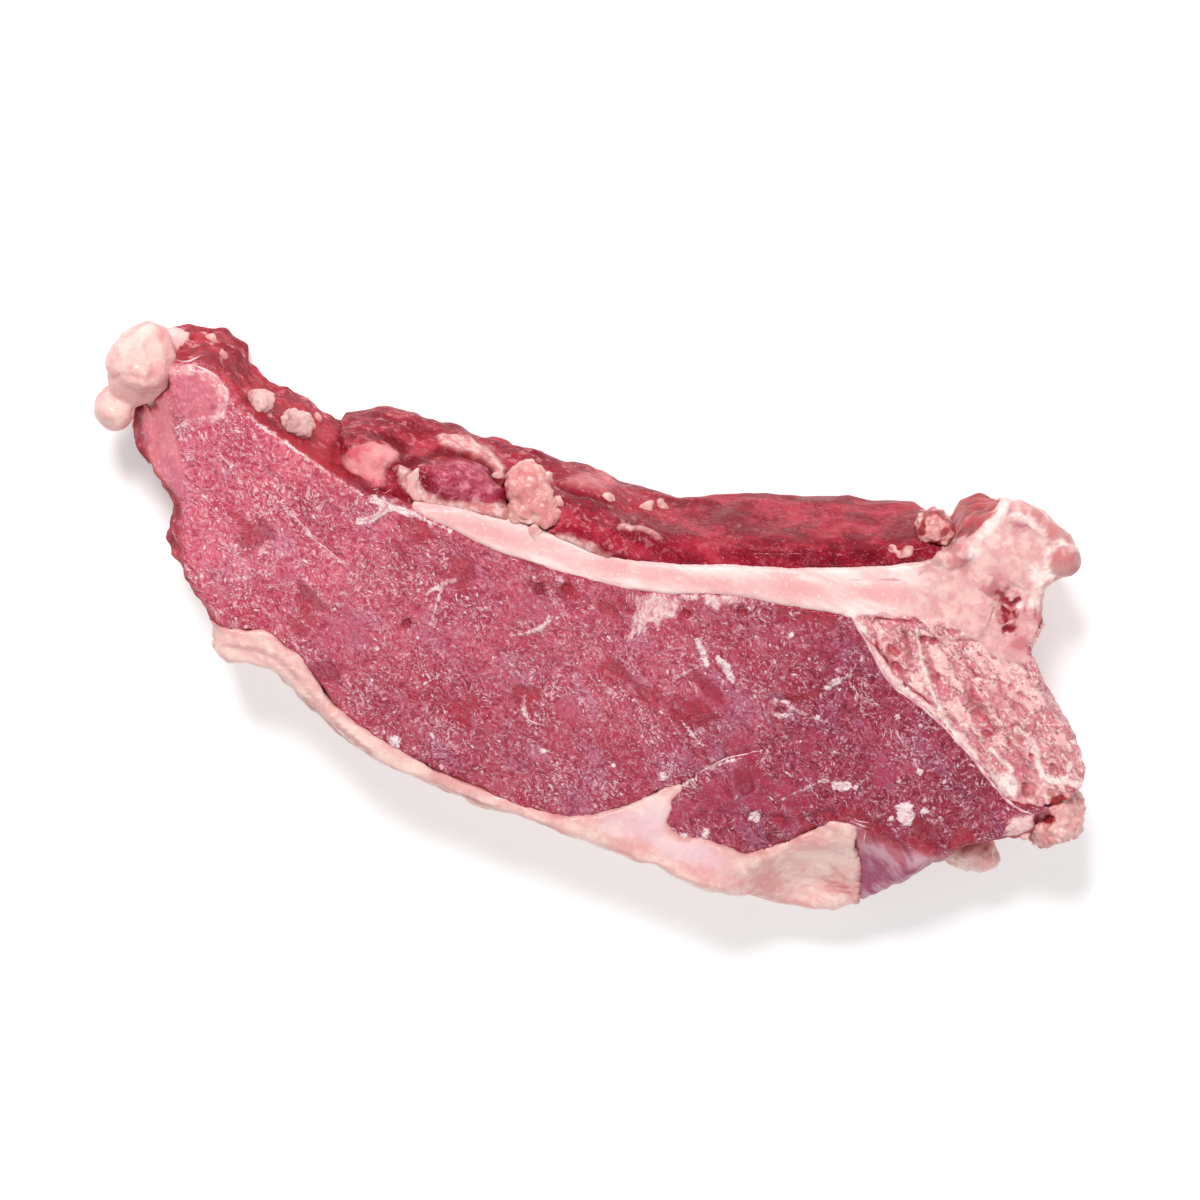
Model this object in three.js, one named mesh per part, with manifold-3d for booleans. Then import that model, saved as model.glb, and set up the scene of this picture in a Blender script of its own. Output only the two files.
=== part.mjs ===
// A bone-in slice of beef: a thick steak sawn across the loin, lying on its lower cut face.
// Millimetres, +Z up. x runs from the thin tail to the backbone, y from the outer fat to the cavity side.
// The slice is one slab out of which the bone, the fat and the lean are cut, so each layer runs through the
// whole thickness and follows its neighbours at a small gap.
import * as THREE from "three";
import { ImprovedNoise } from "three/addons/math/ImprovedNoise.js";
import { mergeVertices } from "three/addons/utils/BufferGeometryUtils.js";
import Module from "manifold-3d";

const wasm = await Module();
wasm.setup();

// Driving dimensions
const THICKNESS = 38; // from the lower cut face to the saw cut through the bone
const MEAT_SINK = 0.9; // how far soft meat settles below the bone
const CAVITY_SINK = 1.1; // the same for the thin meat on the cavity side
const TAIL = { end: -118, length: 55, drop: 5 }; // the slice thins towards its tail
const GAP = 0.3; // between two layers
const STATION_STEP = 4; // between the points of a slab's middle line
const CUT_MARGIN = 3; // how far a cutting slab passes the faces it cuts

// Where the upper face falls away to the side: centre, where it is lowest, where it is level again, drop
const SHOULDERS = [
  { x: 68, y: -46, low: 5, level: 28, drop: 15 },
  { x: -123, y: 2, low: 3, level: 15, drop: 9 },
];

// Outlines on the upper cut face, counterclockwise
const SLICE_EDGE = [
  [-119, 19], [-121.3, 7], [-118.6, 0.8], [-115.4, -3.4], [-110.6, -5.8], [-106.2, -7.4],
  [-104.3, -11], [-103, -16], [-100.5, -20.6], [-95.6, -25.2], [-89, -29.8], [-85.2, -33], [-84.4, -38.8],
  [-72, -36], [-58, -42], [-40, -47], [-18, -48], [6, -46.8], [30, -46.6], [44, -46.8], [54, -47],
  [63, -47], [70, -45], [75, -41], [78.8, -36], [80.8, -30], [83.6, -24.4], [88, -19], [97, -12],
  [104, -5], [104, 10], [92, 22], [84, 36],
  [72, 46], [52, 38], [24, 24], [0, 16], [-24, 12.5], [-48, 11], [-66, 11], [-84, 14.5],
  [-100, 17.5], [-108, 23],
];
const FAT_EDGE = [
  [-100, -48], [-70, -56], [-20, -60], [40, -60], [78, -54], [74, -36], [67, -25],
  [63.5, -19.7], [53, -29.5], [45, -37], [37, -35.5], [26, -38], [23.2, -33.5],
  [24.5, -25.5], [16, -33.5], [9, -40], [-2, -44], [-18, -44], [-36, -42.5], [-51, -40],
  [-61, -34.5], [-69, -29.5], [-77, -28], [-84.5, -30.5], [-96, -34],
];
const PLATE_EDGE = [
  [-58, 11.4], [-55.5, 10.5], [-48.6, 10.2], [-42.8, 9.5], [-34.7, 9.1], [-27, 9.4], [-19.4, 10.1],
  [-11.7, 10.8], [-3, 12.4], [7, 15.4], [18.6, 19.8], [32, 22.4], [45, 25], [60, 26], [74, 32],
  [74, 48], [62, 47.4], [51, 40.3], [40.8, 35.5], [28.4, 30.3], [16.2, 25.8], [6, 21.9], [-1, 19.7],
  [-8, 18.1], [-14.4, 17.1], [-22, 17.1], [-29.6, 16.6], [-37.3, 16.2], [-45, 15.2], [-51, 13.4],
];
const BACKBONE_EDGE = [
  [44, 25.5], [54, 19.6], [61, 15.5], [69, 12.8], [77, 8], [85, 4], [92, 0.5], [98, -1.5],
  [104, 0], [109, 4.5], [109.5, 10], [106, 15.5], [100, 20], [94.5, 22], [90.5, 28.5], [85.2, 33],
  [85.4, 41], [83.6, 48], [85.8, 53.5], [84, 59.8], [76, 62], [67, 63], [62.6, 56], [60, 47], [52, 34],
];
const CAVITY_EDGE = [
  [-60, 9.5], [-52, 11.4], [-42, 12.6], [-28, 12.9], [-14, 13.8], [2, 17], [17, 22], [39, 31.5],
  [58, 41.5], [57, 48], [46, 43.5], [30, 36.4], [14, 30], [-2, 25.2], [-16, 24], [-30, 24],
  [-44, 21.8], [-58, 20.6], [-70, 19.4], [-76, 16], [-70, 10.5],
];

// Middle lines towards which both cut faces of a slab are meshed
const SLICE_SPINE = [[-106, 6], [-70, -12], [-20, -16], [30, -12], [70, 0], [84, 14]];
const FAT_SPINE = [[-88, -43], [-60, -47], [-10, -51], [40, -49], [64, -44]];
const PLATE_SPINE = [[-54, 11.5], [-36, 12.6], [-16, 13.8], [10, 20], [40, 29.5], [66, 38]];
const BACKBONE_SPINE = [[73, 54], [73, 40], [80, 20], [100, 8]];
const CAVITY_SPINE = [[-69, 15], [-40, 17.4], [-14, 19], [10, 24.4], [34, 34], [52, 42.6]];

// Side walls from the lower face up: share of the height, and distance out of the outline
const SOFT_WALL = [[0, -3], [0.03, -0.9], [0.14, 0.3], [0.4, 1.1], [0.7, 1], [0.92, 0.3], [1, -1.2]];
const SAWN_WALL = [[0, -0.8], [0.03, 0], [0.35, 0], [0.7, 0], [0.97, 0], [1, -0.7]];
const ROUND_WALL = [[0, -2.2], [0.04, -0.5], [0.25, 1.2], [0.55, 1], [0.88, 0.3], [1, -1.3]];
const MANY_RINGS = { lower: [0.5], upper: [0.12, 0.28, 0.46, 0.66, 0.86] };
const SOME_RINGS = { lower: [0.5], upper: [0.2, 0.45, 0.75] };
const FEW_RINGS = { lower: [0.5], upper: [0.5] };

// Lumps of fat, each a knobbly ball of these half sizes: the knobs on the tail, one at the backbone's
// corner, the loose flap under the side and the bits on the cavity side
const TIP_LUMPS = [
  { at: [-124.4, 16.6, 25], size: [8, 9.4, 12] },
  { at: [-125.9, 4.2, 23], size: [4.8, 4.6, 9] },
  { at: [-117, 13, 12], size: [9, 11, 15] },
];
const CORNER_LUMPS = [
  { at: [108.2, -3, 27], size: [7.6, 7.8, 10.5] },
  { at: [104.6, -4, 10], size: [7, 7, 12] },
];
const FLAP_LUMPS = [
  { at: [94.8, -19.8, 18], size: [7.6, 5, 10] },
];
const CAVITY_LUMPS = [
  [
    { at: [-35.2, 24.6, 32.5], size: [5, 4.6, 6.5] }, { at: [-31.4, 22.4, 35], size: [4.2, 3.8, 4.4] },
    { at: [-33.2, 19.4, 36.4], size: [3.4, 3.2, 2.8] }, { at: [-28.4, 20.4, 36.2], size: [3.2, 3, 2.8] },
  ],
  [{ at: [54, 49.5, 32], size: [4.5, 4, 4.9] }],
  [{ at: [-86.6, 17.2, 28], size: [4.2, 3.4, 4.9] }],
  [{ at: [-96.4, 19.2, 29], size: [3.2, 2.8, 4] }],
];
const SMALL_LUMP = 5; // below this half size a lump is meshed more coarsely
const JOINT_LUMP = { at: [82, 54, 31.5], size: [6.5, 6.5, 6.5] };
const NERVE_HOLE = { at: [76.6, 39.4, THICKNESS], size: [3.2, 5.4, 6] };

const noise = new ImprovedNoise();

// Smooth relief between -1 and 1 with bumps about one size apart
function relief(x, y, z, size) {
  return noise.noise(x / size + 7.3, y / size + 2.9, z / size + 5.1);
}

function smooth(from, to, value) {
  return THREE.MathUtils.smoothstep(value, from, to);
}

function shoulderDrop(x, y) {
  const drop = (s) => s.drop * (1 - smooth(s.low, s.level, Math.hypot(x - s.x, y - s.y)));
  return SHOULDERS.reduce((sum, s) => sum + drop(s), 0);
}

// The cut face of the meat is wavy, thins to the tail and falls away at the shoulders
function meatFace(x, y) {
  const tail = 1 - smooth(TAIL.end, TAIL.end + TAIL.length, x);
  const waves = 1.5 * relief(x, y, 0, 34) + 0.8 * relief(x, y, 40, 12) + 0.35 * relief(x, y, 80, 5);
  return THICKNESS - MEAT_SINK - TAIL.drop * tail * tail - shoulderDrop(x, y) + waves;
}

// Fat is firmer than lean, so it stands up a little
function fatFace(x, y) {
  return meatFace(x, y) + 0.6;
}

function boneFace(x, y) {
  return THICKNESS - 0.4 + 0.3 * relief(x, y, 20, 16);
}

// The sponge of the backbone is torn by the saw below the hard rim of the plate
function backboneFace(x, y) {
  const sponge = smooth(-4, 6, 0.62 * (x - 44) - (y - 25.5));
  return boneFace(x, y) - sponge * (0.6 + 0.7 * relief(x, y, 60, 6));
}

function cavityFace(x, y) {
  return THICKNESS - CAVITY_SINK - 3 * (1 - smooth(-75, -40, x)) + 1.2 * relief(x, y, 30, 11);
}

// How far the foot of the meat spreads on the cavity side of the tail and under the shoulder
function sliceSpread(point, normal) {
  const cavity = smooth(0.2, 0.8, normal.y) * (1 - smooth(-66, -50, point.x));
  const shoulder = smooth(58, 70, point.x) * smooth(0.1, 0.6, -normal.y);
  return 3.5 * cavity + 4 * shoulder;
}

// The backbone narrows downwards under its knob on the cavity side and under its block at the end
function backboneSpread(point, normal) {
  const knob = smooth(0.1, 0.6, normal.y) * smooth(40, 54, point.y);
  const block = smooth(0.3, 0.8, normal.x) * (1 - smooth(30, 36, point.y));
  return -10 * knob - 6 * block;
}

function cavitySpread(point, normal) {
  const ends = smooth(-78, -60, point.x) * (1 - smooth(32, 56, point.x));
  return 3 * ends * smooth(0, 0.7, normal.y) + 0.6;
}

function evenOutline(corners, count) {
  const flat = corners.map(([x, y]) => new THREE.Vector3(x, y, 0));
  const curve = new THREE.CatmullRomCurve3(flat, true, "centripetal");
  return curve.getSpacedPoints(count).slice(0, count).map((p) => new THREE.Vector2(p.x, p.y));
}

function outwardNormals(edge) {
  const count = edge.length;
  return edge.map((_, i) => {
    const along = edge[(i + 1) % count].clone().sub(edge[(i + count - 1) % count]).normalize();
    return new THREE.Vector2(along.y, -along.x);
  });
}

// Stations evenly along a spine, and for each point of the outline the station it is meshed towards.
// The stations climb along one side of the outline and fall along the other, so no two sides cross.
function stationsFor(edge, corners) {
  const flat = corners.map(([x, y]) => new THREE.Vector3(x, y, 0));
  const spine = new THREE.CatmullRomCurve3(flat, false, "centripetal");
  const last = Math.max(2, Math.round(spine.getLength() / STATION_STEP));
  const stations = spine.getSpacedPoints(last).map((p) => new THREE.Vector2(p.x, p.y));
  const nearer = (p) => (best, s, k) => (s.distanceTo(p) < stations[best].distanceTo(p) ? k : best);
  const nearest = edge.map((p) => stations.reduce(nearer(p), 0));
  const count = edge.length;
  const first = nearest.findIndex((k, i) => k === 0 && nearest[(i + 1) % count] > 0);
  const order = edge.map((_, i) => (first + i) % count);
  const far = order.findIndex((i) => nearest[i] === last);
  for (let i = 1; i <= far; i++) {
    nearest[order[i]] = Math.max(nearest[order[i]], nearest[order[i - 1]]);
  }
  for (let i = count - 1; i > far; i--) {
    nearest[order[i]] = Math.max(nearest[order[i]], nearest[order[(i + 1) % count]]);
  }
  return { stations, nearest };
}

// A slab inside an outline: rings of points climb its wall and close over both faces towards the spine.
// grow widens it, and deepens it past both faces, for use as a cutting tool.
function slab({ corners, spine, wall, rings, face, spread = () => 0, count, rough = 0, grow = 0 }) {
  const edge = evenOutline(corners, count);
  const normals = outwardNormals(edge);
  const { stations, nearest } = stationsFor(edge, spine);
  const [lowOut, highOut] = [wall[0][1], wall[wall.length - 1][1]];
  const over = grow > 0 ? CUT_MARGIN : 0;
  const points = [];
  const faces = [];

  const ring = (place) => {
    const start = points.length;
    edge.forEach((p, i) => points.push(place(p, normals[i], stations[nearest[i]])));
    return start;
  };
  const onWall = (share, out) => (p, n) => {
    const at = p.clone().addScaledVector(n, out + grow + spread(p, n) * (1 - share) ** 1.6);
    const height = face(at.x, at.y) * share;
    const inside = share > 0 && share < 1;
    at.addScaledVector(n, inside ? rough * relief(at.x, at.y, height, 8) : 0);
    return new THREE.Vector3(at.x, at.y, share === 0 ? -over : height + (share === 1 ? over : 0));
  };
  const onFace = (inward, upper) => (p, n, foot) => {
    const out = upper ? highOut : lowOut + spread(p, n);
    const at = p.clone().addScaledVector(n, out + grow).lerp(foot, inward);
    return new THREE.Vector3(at.x, at.y, upper ? face(at.x, at.y) + over : -over);
  };
  const close = (start, upper) => {
    const middle = points.length;
    for (const { x, y } of stations) {
      points.push(new THREE.Vector3(x, y, upper ? face(x, y) + over : -over));
    }
    const add = (a, b, c) => faces.push(a, upper ? b : c, upper ? c : b);
    for (let i = 0; i < count; i++) {
      const j = (i + 1) % count;
      add(start + i, start + j, middle + nearest[i]);
      const step = Math.sign(nearest[j] - nearest[i]);
      for (let k = nearest[i]; k !== nearest[j]; k += step) {
        add(start + j, middle + k + step, middle + k);
      }
    }
  };

  const starts = [
    ...rings.lower.toReversed().map((t) => ring(onFace(t, false))),
    ...wall.map(([share, out]) => ring(onWall(share, out))),
    ...rings.upper.map((t) => ring(onFace(t, true))),
  ];
  for (let k = 0; k + 1 < starts.length; k++) {
    for (let i = 0; i < count; i++) {
      const j = (i + 1) % count;
      const [a, b, c, d] = [starts[k] + i, starts[k] + j, starts[k + 1] + j, starts[k + 1] + i];
      faces.push(a, b, c, a, c, d);
    }
  }
  close(starts[0], false);
  close(starts[starts.length - 1], true);
  return solidOf(new THREE.BufferGeometry().setFromPoints(points).setIndex(faces));
}

// A knobbly ball, flattened where it would sink below the table
function lump({ at, size, bumps = 0.3, grain = 8, grow = 0 }) {
  const [around, upwards] = Math.max(...size) < SMALL_LUMP ? [10, 7] : [14, 9];
  const geometry = new THREE.SphereGeometry(1, around, upwards);
  const position = geometry.attributes.position;
  const p = new THREE.Vector3();
  for (let i = 0; i < position.count; i++) {
    p.fromBufferAttribute(position, i);
    const [x, y, z] = size.map((half, axis) => (half + grow) * p.getComponent(axis));
    const bump = 1 + bumps * relief(x + at[0], y + at[1], z + at[2], grain);
    position.setXYZ(i, at[0] + x * bump, at[1] + y * bump, Math.max(-grow * CUT_MARGIN, at[2] + z * bump));
  }
  return solidOf(geometry);
}

function lumps(list, grow = 0) {
  return list.map((one) => lump({ ...one, grow })).reduce((sum, one) => sum.add(one));
}

function solidOf(geometry) {
  for (const name of ["normal", "uv"]) geometry.deleteAttribute(name);
  const merged = mergeVertices(geometry, 1e-4);
  return new wasm.Manifold(new wasm.Mesh({
    numProp: 3,
    vertProperties: merged.attributes.position.array,
    triVerts: new Uint32Array(merged.index.array),
  }));
}

function geometryOf(solid) {
  const { vertProperties, triVerts } = solid.getMesh();
  const geometry = new THREE.BufferGeometry();
  geometry.setAttribute("position", new THREE.BufferAttribute(new Float32Array(vertProperties), 3));
  geometry.setIndex(new THREE.BufferAttribute(new Uint32Array(triVerts), 1));
  geometry.computeVertexNormals();
  return geometry;
}

const SLICE = {
  corners: SLICE_EDGE, spine: SLICE_SPINE, wall: SOFT_WALL, rings: MANY_RINGS,
  face: meatFace, spread: sliceSpread, count: 106, rough: 1.2,
};
const FAT = {
  corners: FAT_EDGE, spine: FAT_SPINE, wall: SAWN_WALL, rings: SOME_RINGS,
  face: fatFace, count: 78, rough: 0.8,
};
const PLATE = {
  corners: PLATE_EDGE, spine: PLATE_SPINE, wall: SAWN_WALL, rings: FEW_RINGS,
  face: boneFace, count: 50, rough: 0.3,
};
const BACKBONE = {
  corners: BACKBONE_EDGE, spine: BACKBONE_SPINE, wall: SAWN_WALL, rings: SOME_RINGS,
  face: backboneFace, spread: backboneSpread, count: 56, rough: 0.9,
};
const CAVITY = {
  corners: CAVITY_EDGE, spine: CAVITY_SPINE, wall: ROUND_WALL, rings: FEW_RINGS,
  face: cavityFace, spread: cavitySpread, count: 58, rough: 1.8,
};

const tool = (shape) => slab({ ...shape, grow: GAP });
const bone = slab(PLATE).add(slab(BACKBONE)).add(lump(JOINT_LUMP)).subtract(lump(NERVE_HOLE));
const boneTool = tool(PLATE).add(tool(BACKBONE)).add(lump({ ...JOINT_LUMP, grow: GAP }));
const slice = slab(SLICE);
const sliceTool = tool(SLICE);
const proudSlice = slab({ ...SLICE, face: fatFace });
const tipFat = lumps(TIP_LUMPS);
const tipTool = lumps(TIP_LUMPS, GAP);
const cornerTool = lumps(CORNER_LUMPS, GAP);
const cornerFat = lumps(CORNER_LUMPS).subtract(boneTool);
const bits = CAVITY_LUMPS.map((list) => lumps(list));
const bitTools = CAVITY_LUMPS.map((list) => lumps(list, GAP)).reduce((sum, one) => sum.add(one));

const neighbours = [boneTool, tool(FAT), tipTool, cornerTool, bitTools];
const lean = neighbours.reduce((left, one) => left.subtract(one), slice);
const fatCap = slab(FAT).intersect(proudSlice).subtract(boneTool);
const cavityMeat = slab(CAVITY).subtract(boneTool).subtract(sliceTool).subtract(bitTools);
const fatFlap = lumps(FLAP_LUMPS).subtract(sliceTool);

const LEAN_RED = { color: 0xb25562, roughness: 0.4, metalness: 0 };
const MEMBRANE_RED = { color: 0xb04350, roughness: 0.3, metalness: 0 };
const BONE_IVORY = { color: 0xecc3bf, roughness: 0.5, metalness: 0 };
const FAT_CREAM = { color: 0xf5d6cd, roughness: 0.45, metalness: 0 };

// A cut can leave scraps beside the piece, and only the piece is kept
function largest(solid) {
  return solid.decompose().sort((a, b) => b.volume() - a.volume())[0];
}

function piece(name, solid, finish) {
  const mesh = new THREE.Mesh(geometryOf(largest(solid)), new THREE.MeshStandardMaterial(finish));
  mesh.name = name;
  return mesh;
}

const steak = new THREE.Group();
steak.add(
  piece("lean", lean, LEAN_RED),
  piece("bone", bone, BONE_IVORY),
  piece("fat_cap", fatCap, FAT_CREAM),
  piece("cavity_meat", cavityMeat, MEMBRANE_RED),
  piece("tip_fat", tipFat, FAT_CREAM),
  piece("corner_fat", cornerFat, FAT_CREAM),
  piece("fat_flap", fatFlap, FAT_CREAM),
  ...bits.map((bit, i) => piece(`cavity_fat_${i + 1}`, bit.subtract(boneTool), FAT_CREAM)),
);

// The origin is on the table under the middle of the whole slice
const middle = new THREE.Box3().setFromObject(steak).getCenter(new THREE.Vector3());
steak.position.set(-middle.x, -middle.y, 0);

export default steak;
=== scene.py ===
import math
import random

import bmesh
import bpy
import numpy as np
from mathutils import Matrix, Vector, noise
from mathutils.bvhtree import BVHTree


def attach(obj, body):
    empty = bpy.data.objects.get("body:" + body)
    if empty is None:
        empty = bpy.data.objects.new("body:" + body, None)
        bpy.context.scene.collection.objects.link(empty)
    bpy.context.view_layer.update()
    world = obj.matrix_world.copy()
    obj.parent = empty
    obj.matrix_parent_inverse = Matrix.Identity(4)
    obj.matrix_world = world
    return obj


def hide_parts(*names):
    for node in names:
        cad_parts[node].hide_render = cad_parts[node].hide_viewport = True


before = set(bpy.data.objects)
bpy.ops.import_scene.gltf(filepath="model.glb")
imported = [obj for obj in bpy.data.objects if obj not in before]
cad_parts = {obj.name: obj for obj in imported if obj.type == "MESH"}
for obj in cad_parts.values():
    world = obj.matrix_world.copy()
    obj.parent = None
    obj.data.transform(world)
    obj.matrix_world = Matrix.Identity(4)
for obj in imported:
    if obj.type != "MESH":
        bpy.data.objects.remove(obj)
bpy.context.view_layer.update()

# The lean: the big muscles of the slice, sawn across their fibres and lying on the lower cut face.
# It has the solid's own form, meshed finely, with the moist grain of the cut bundles, the grooves
# between muscles and the soft folds of the sides worked into its surface.
MM = 0.001
DRAWN = np.array((8.013, -7.041, 0)) * MM  # where the drawing's zero lies in the frame
LEAN_VOXEL = 1.0 * MM
HALF_WAY_UP = 18 * MM  # above this the cut face gets a finer mesh
CONTACT = 2.0 * MM  # surfaces nearer than this swell until they touch
GRAIN_TURN = math.radians(-30)  # the fibres' ends are smeared this way by the knife


def place(x, y, z):
    """A point of the drawing, in millimetres, as a point of the frame."""
    return DRAWN + np.array((x, y, z)) * MM


VIEWPOINT = Vector(place(-166.6, 268.2, 1134.0))  # where the drawing was seen from
CUT_HEIGHT = 38.0


def in_scene(name, data):
    """A new object in the scene, with its mesh, curve, lamp or camera."""
    made = bpy.data.objects.new(name, data)
    bpy.context.scene.collection.objects.link(made)
    return made


def new_piece(name, mesh):
    """A finished mesh as a piece of the slice."""
    piece = in_scene(name, mesh)
    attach(piece, "root")
    return piece


def finished(piece):
    """The mesh that a piece's modifiers, or a curve's own roundness, make of it."""
    graph = bpy.context.evaluated_depsgraph_get()
    return bpy.data.meshes.new_from_object(piece.evaluated_get(graph))


def even_mesh(piece, voxel, smoothing):
    """Meshes a piece evenly, all its shells in one, and smooths it."""
    remesh = piece.modifiers.new("even", "REMESH")
    remesh.mode = "VOXEL"
    remesh.voxel_size = voxel
    relax = piece.modifiers.new("relax", "SMOOTH")
    relax.factor = 0.5
    relax.iterations = smoothing
    mesh = finished(piece)
    piece.modifiers.clear()
    piece.data = mesh


def write(bm, mesh):
    """Puts a bmesh's work into a mesh."""
    bm.to_mesh(mesh)
    bm.free()
    return mesh


def fine_copy(node, voxel, smoothing=2):
    """A node's form as a piece of its own, evenly meshed, that stands for the node."""
    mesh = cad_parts[node].data.copy()
    bm = bmesh.new()
    bm.from_mesh(mesh)
    bmesh.ops.remove_doubles(bm, verts=bm.verts, dist=0.001 * MM)
    write(bm, mesh).materials.clear()
    piece = new_piece(node + "_fine", mesh)
    even_mesh(piece, voxel, smoothing)
    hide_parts(node)
    return piece


def points_of(piece):
    """The points and the normals of a piece, a row for each."""
    mesh = piece.data
    co = np.empty(3 * len(mesh.vertices))
    normal = np.empty_like(co)
    mesh.vertices.foreach_get("co", co)
    mesh.vertex_normals.foreach_get("vector", normal)
    return co.reshape(-1, 3), normal.reshape(-1, 3)


def refine(piece, wanted):
    """Splits each edge whose two ends are wanted, once."""
    bm = bmesh.new()
    bm.from_mesh(piece.data)
    chosen = {v for v, want in zip(bm.verts, wanted) if want}
    edges = [e for e in bm.edges if e.verts[0] in chosen and e.verts[1] in chosen]
    bmesh.ops.subdivide_edges(bm, edges=edges, cuts=1, use_grid_fill=True, smooth=0.6)
    write(bm, piece.data)


def sculpt(piece, depth):
    """Moves each point along its normal by its depth, and no point below the table."""
    co, normal = points_of(piece)
    co = co + normal * depth[:, None]
    co[:, 2] = np.maximum(co[:, 2], 0)
    piece.data.vertices.foreach_set("co", co.ravel())
    piece.data.shade_smooth()
    piece.data.update()


def ripple(co, size, seed):
    """Smooth noise between -1 and 1 with bumps about one size apart, in millimetres."""
    return np.array([noise.noise(Vector(p)) for p in co / (size * MM) + np.array((seed, 2 * seed, -seed))])


def cells(co, size):
    """Rounded cells of a size in millimetres, from 0 in the narrow furrows to 1 on a cell."""
    near = np.array([noise.voronoi(Vector(p))[0][:2] for p in co / (size * MM)])
    return np.minimum(1, 2.2 * (near[:, 1] - near[:, 0]))


def ease(low, high, value):
    """0 below low, 1 above high and a smooth step between."""
    t = np.clip((value - low) / (high - low), 0, 1)
    return t * t * (3 - 2 * t)


def on_drawing(co):
    """Where points lie on the drawing, in millimetres: it was made at the height of the cut face, so
    each is carried there along the line from the viewpoint."""
    eye = np.array(VIEWPOINT)
    reach = (eye[2] - CUT_HEIGHT * MM) / (eye[2] - co[:, 2])
    return ((eye + (co - eye) * reach[:, None] - DRAWN) / MM)[:, :2]


def line_distance(flat, line):
    """How far points of the drawing are from a line on it, in millimetres."""
    best = np.full(len(flat), 1e3)
    for start, end in zip(line, line[1:]):
        a = np.array(start)
        d = np.array(end) - a
        t = np.clip((flat - a) @ d / (d @ d), 0, 1)
        best = np.minimum(best, np.linalg.norm(flat - a - t[:, None] * d, axis=1))
    return best


def inside(flat, outline):
    """How far points of the drawing lie inside an outline on it, negative outside, in millimetres."""
    closed = [*outline, outline[0]]
    x, y = flat.T
    odd = np.zeros(len(flat), bool)
    for (ax, ay), (bx, by) in zip(closed, closed[1:]):
        if ay != by:
            odd ^= ((ay > y) != (by > y)) & (x < ax + (y - ay) * (bx - ax) / (by - ay))
    return line_distance(flat, closed) * np.where(odd, 1, -1)


def spots(flat, list_of_spots, raggedness):
    """1 in the middle of round spots, each x, y and radius on the drawing, 0 outside, torn by noise."""
    most = np.zeros(len(flat))
    for x, y, radius in list_of_spots:
        away = np.linalg.norm(flat - (x, y), axis=1) / radius
        most = np.maximum(most, 1 - ease(0.7, 1.05, away + raggedness))
    return most


def streaks_along(flat, lines, raggedness):
    """1 along lines of the drawing, each a width and its points, 0 beside them, torn by noise."""
    most = np.zeros(len(flat))
    for width, line in lines:
        away = line_distance(flat, line) / (0.5 * width)
        most = np.maximum(most, 1 - ease(0.6, 1.3, away + raggedness))
    return most


def drawn_out(co, turn, stretch):
    """Points as they lie in a grain that runs at an angle to the slice and is stretched along itself."""
    c, s = math.cos(turn), math.sin(turn)
    x, y, z = co.T
    return np.array(((c * x + s * y) / stretch, c * y - s * x, z)).T


def touch(piece, node):
    """Near 1 where the solid of another node lies close to a piece's points, 0 away from it."""
    points = []
    faces = []
    for name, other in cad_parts.items():
        if name != node:
            faces += [[len(points) + i for i in f.vertices] for f in other.data.polygons]
            points += [v.co for v in other.data.vertices]
    tree = BVHTree.FromPolygons(points, faces)
    gap = np.array([tree.find_nearest(v.co)[3] for v in piece.data.vertices])
    return 1 - ease(0.3 * MM, CONTACT, gap)


def highest(*masks):
    """The highest of several masks at each point."""
    return np.maximum.reduce(masks)


def paint(piece, **masks):
    """Stores masks from 0 to 1 under their names at each point, for the piece's material."""
    for name, values in masks.items():
        layer = piece.data.attributes.new(name, "FLOAT", "POINT")
        layer.data.foreach_set("value", np.clip(values, 0, 1))


# Grooves where one muscle lies against the next, in millimetres of the drawing
MUSCLE_SEAMS = [
    [(23.9, -26.2), (26.5, -22), (30.8, -16.7), (35, -12.6), (42, -8), (50, -2)],
    [(34.2, 0.6), (38.5, 1.6), (44.1, 3.5), (47.8, 8.4), (52, 14.5)],
    [(-112.7, 9.8), (-109.8, 13.2), (-106, 15.6), (-103.5, 16.6)],
    [(-91.3, 7.5), (-83.8, 4.8), (-77.5, -0.2), (-73.4, -3), (-66.7, -5.6)],
    [(30, -31), (42, -27), (52, -24), (60, -18)],
]
# The tail's end: the muscle's smooth skin, the thin veil beside it and a translucent flap further on
TAIL_SKIN = [
    (-120.4, 6.1), (-124, 10), (-122, 14), (-116.9, 15.4), (-114.6, 12), (-109.9, 5.3), (-107.1, 0.6),
    (-104.6, -4.6), (-106, -8), (-113, -8), (-120, -2),
]
VEIL_HEM = [
    (3, [(-117.5, 20.5), (-113.3, 22.4), (-108.6, 21.8), (-105.3, 19.8), (-104.4, 16), (-105.6, 13.6)]),
]
TAIL_VEIL = [
    (-118, 20.7), (-113.1, 23.4), (-108, 22.6), (-104.3, 20.5), (-103.6, 15), (-107.3, 12.1), (-111, 9.1),
    (-116.4, 14.1),
]
PINK_FLAP = [
    (-75.7, 15.6), (-74.3, 19.8), (-67.1, 23.1), (-63.5, 22.1), (-65.5, 17.3), (-64.8, 13.6), (-67.2, 11.8),
    (-72.6, 13.6),
]
# The wet gap under the tail's upper edge, painted dark red as wet meat and as shade, and the silver skin
# beside the loose fat
SHADED_WET_GAP = [
    (-103, 18.2), (-92, 17.6), (-85.9, 17), (-81.4, 18.2), (-76.1, 17.6), (-70, 14), (-66, 11.9),
    (-64.8, 10.6), (-68.1, 10.2), (-75.8, 11.8), (-83.6, 13.7), (-92.8, 15.5), (-99, 17.3),
]
SILVER_SKIN = [
    (64.5, -20.6), (74, -20.6), (84, -19.5), (92, -16), (92, -24), (82, -36), (72, -48), (68, -46),
    (70, -30),
]
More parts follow.
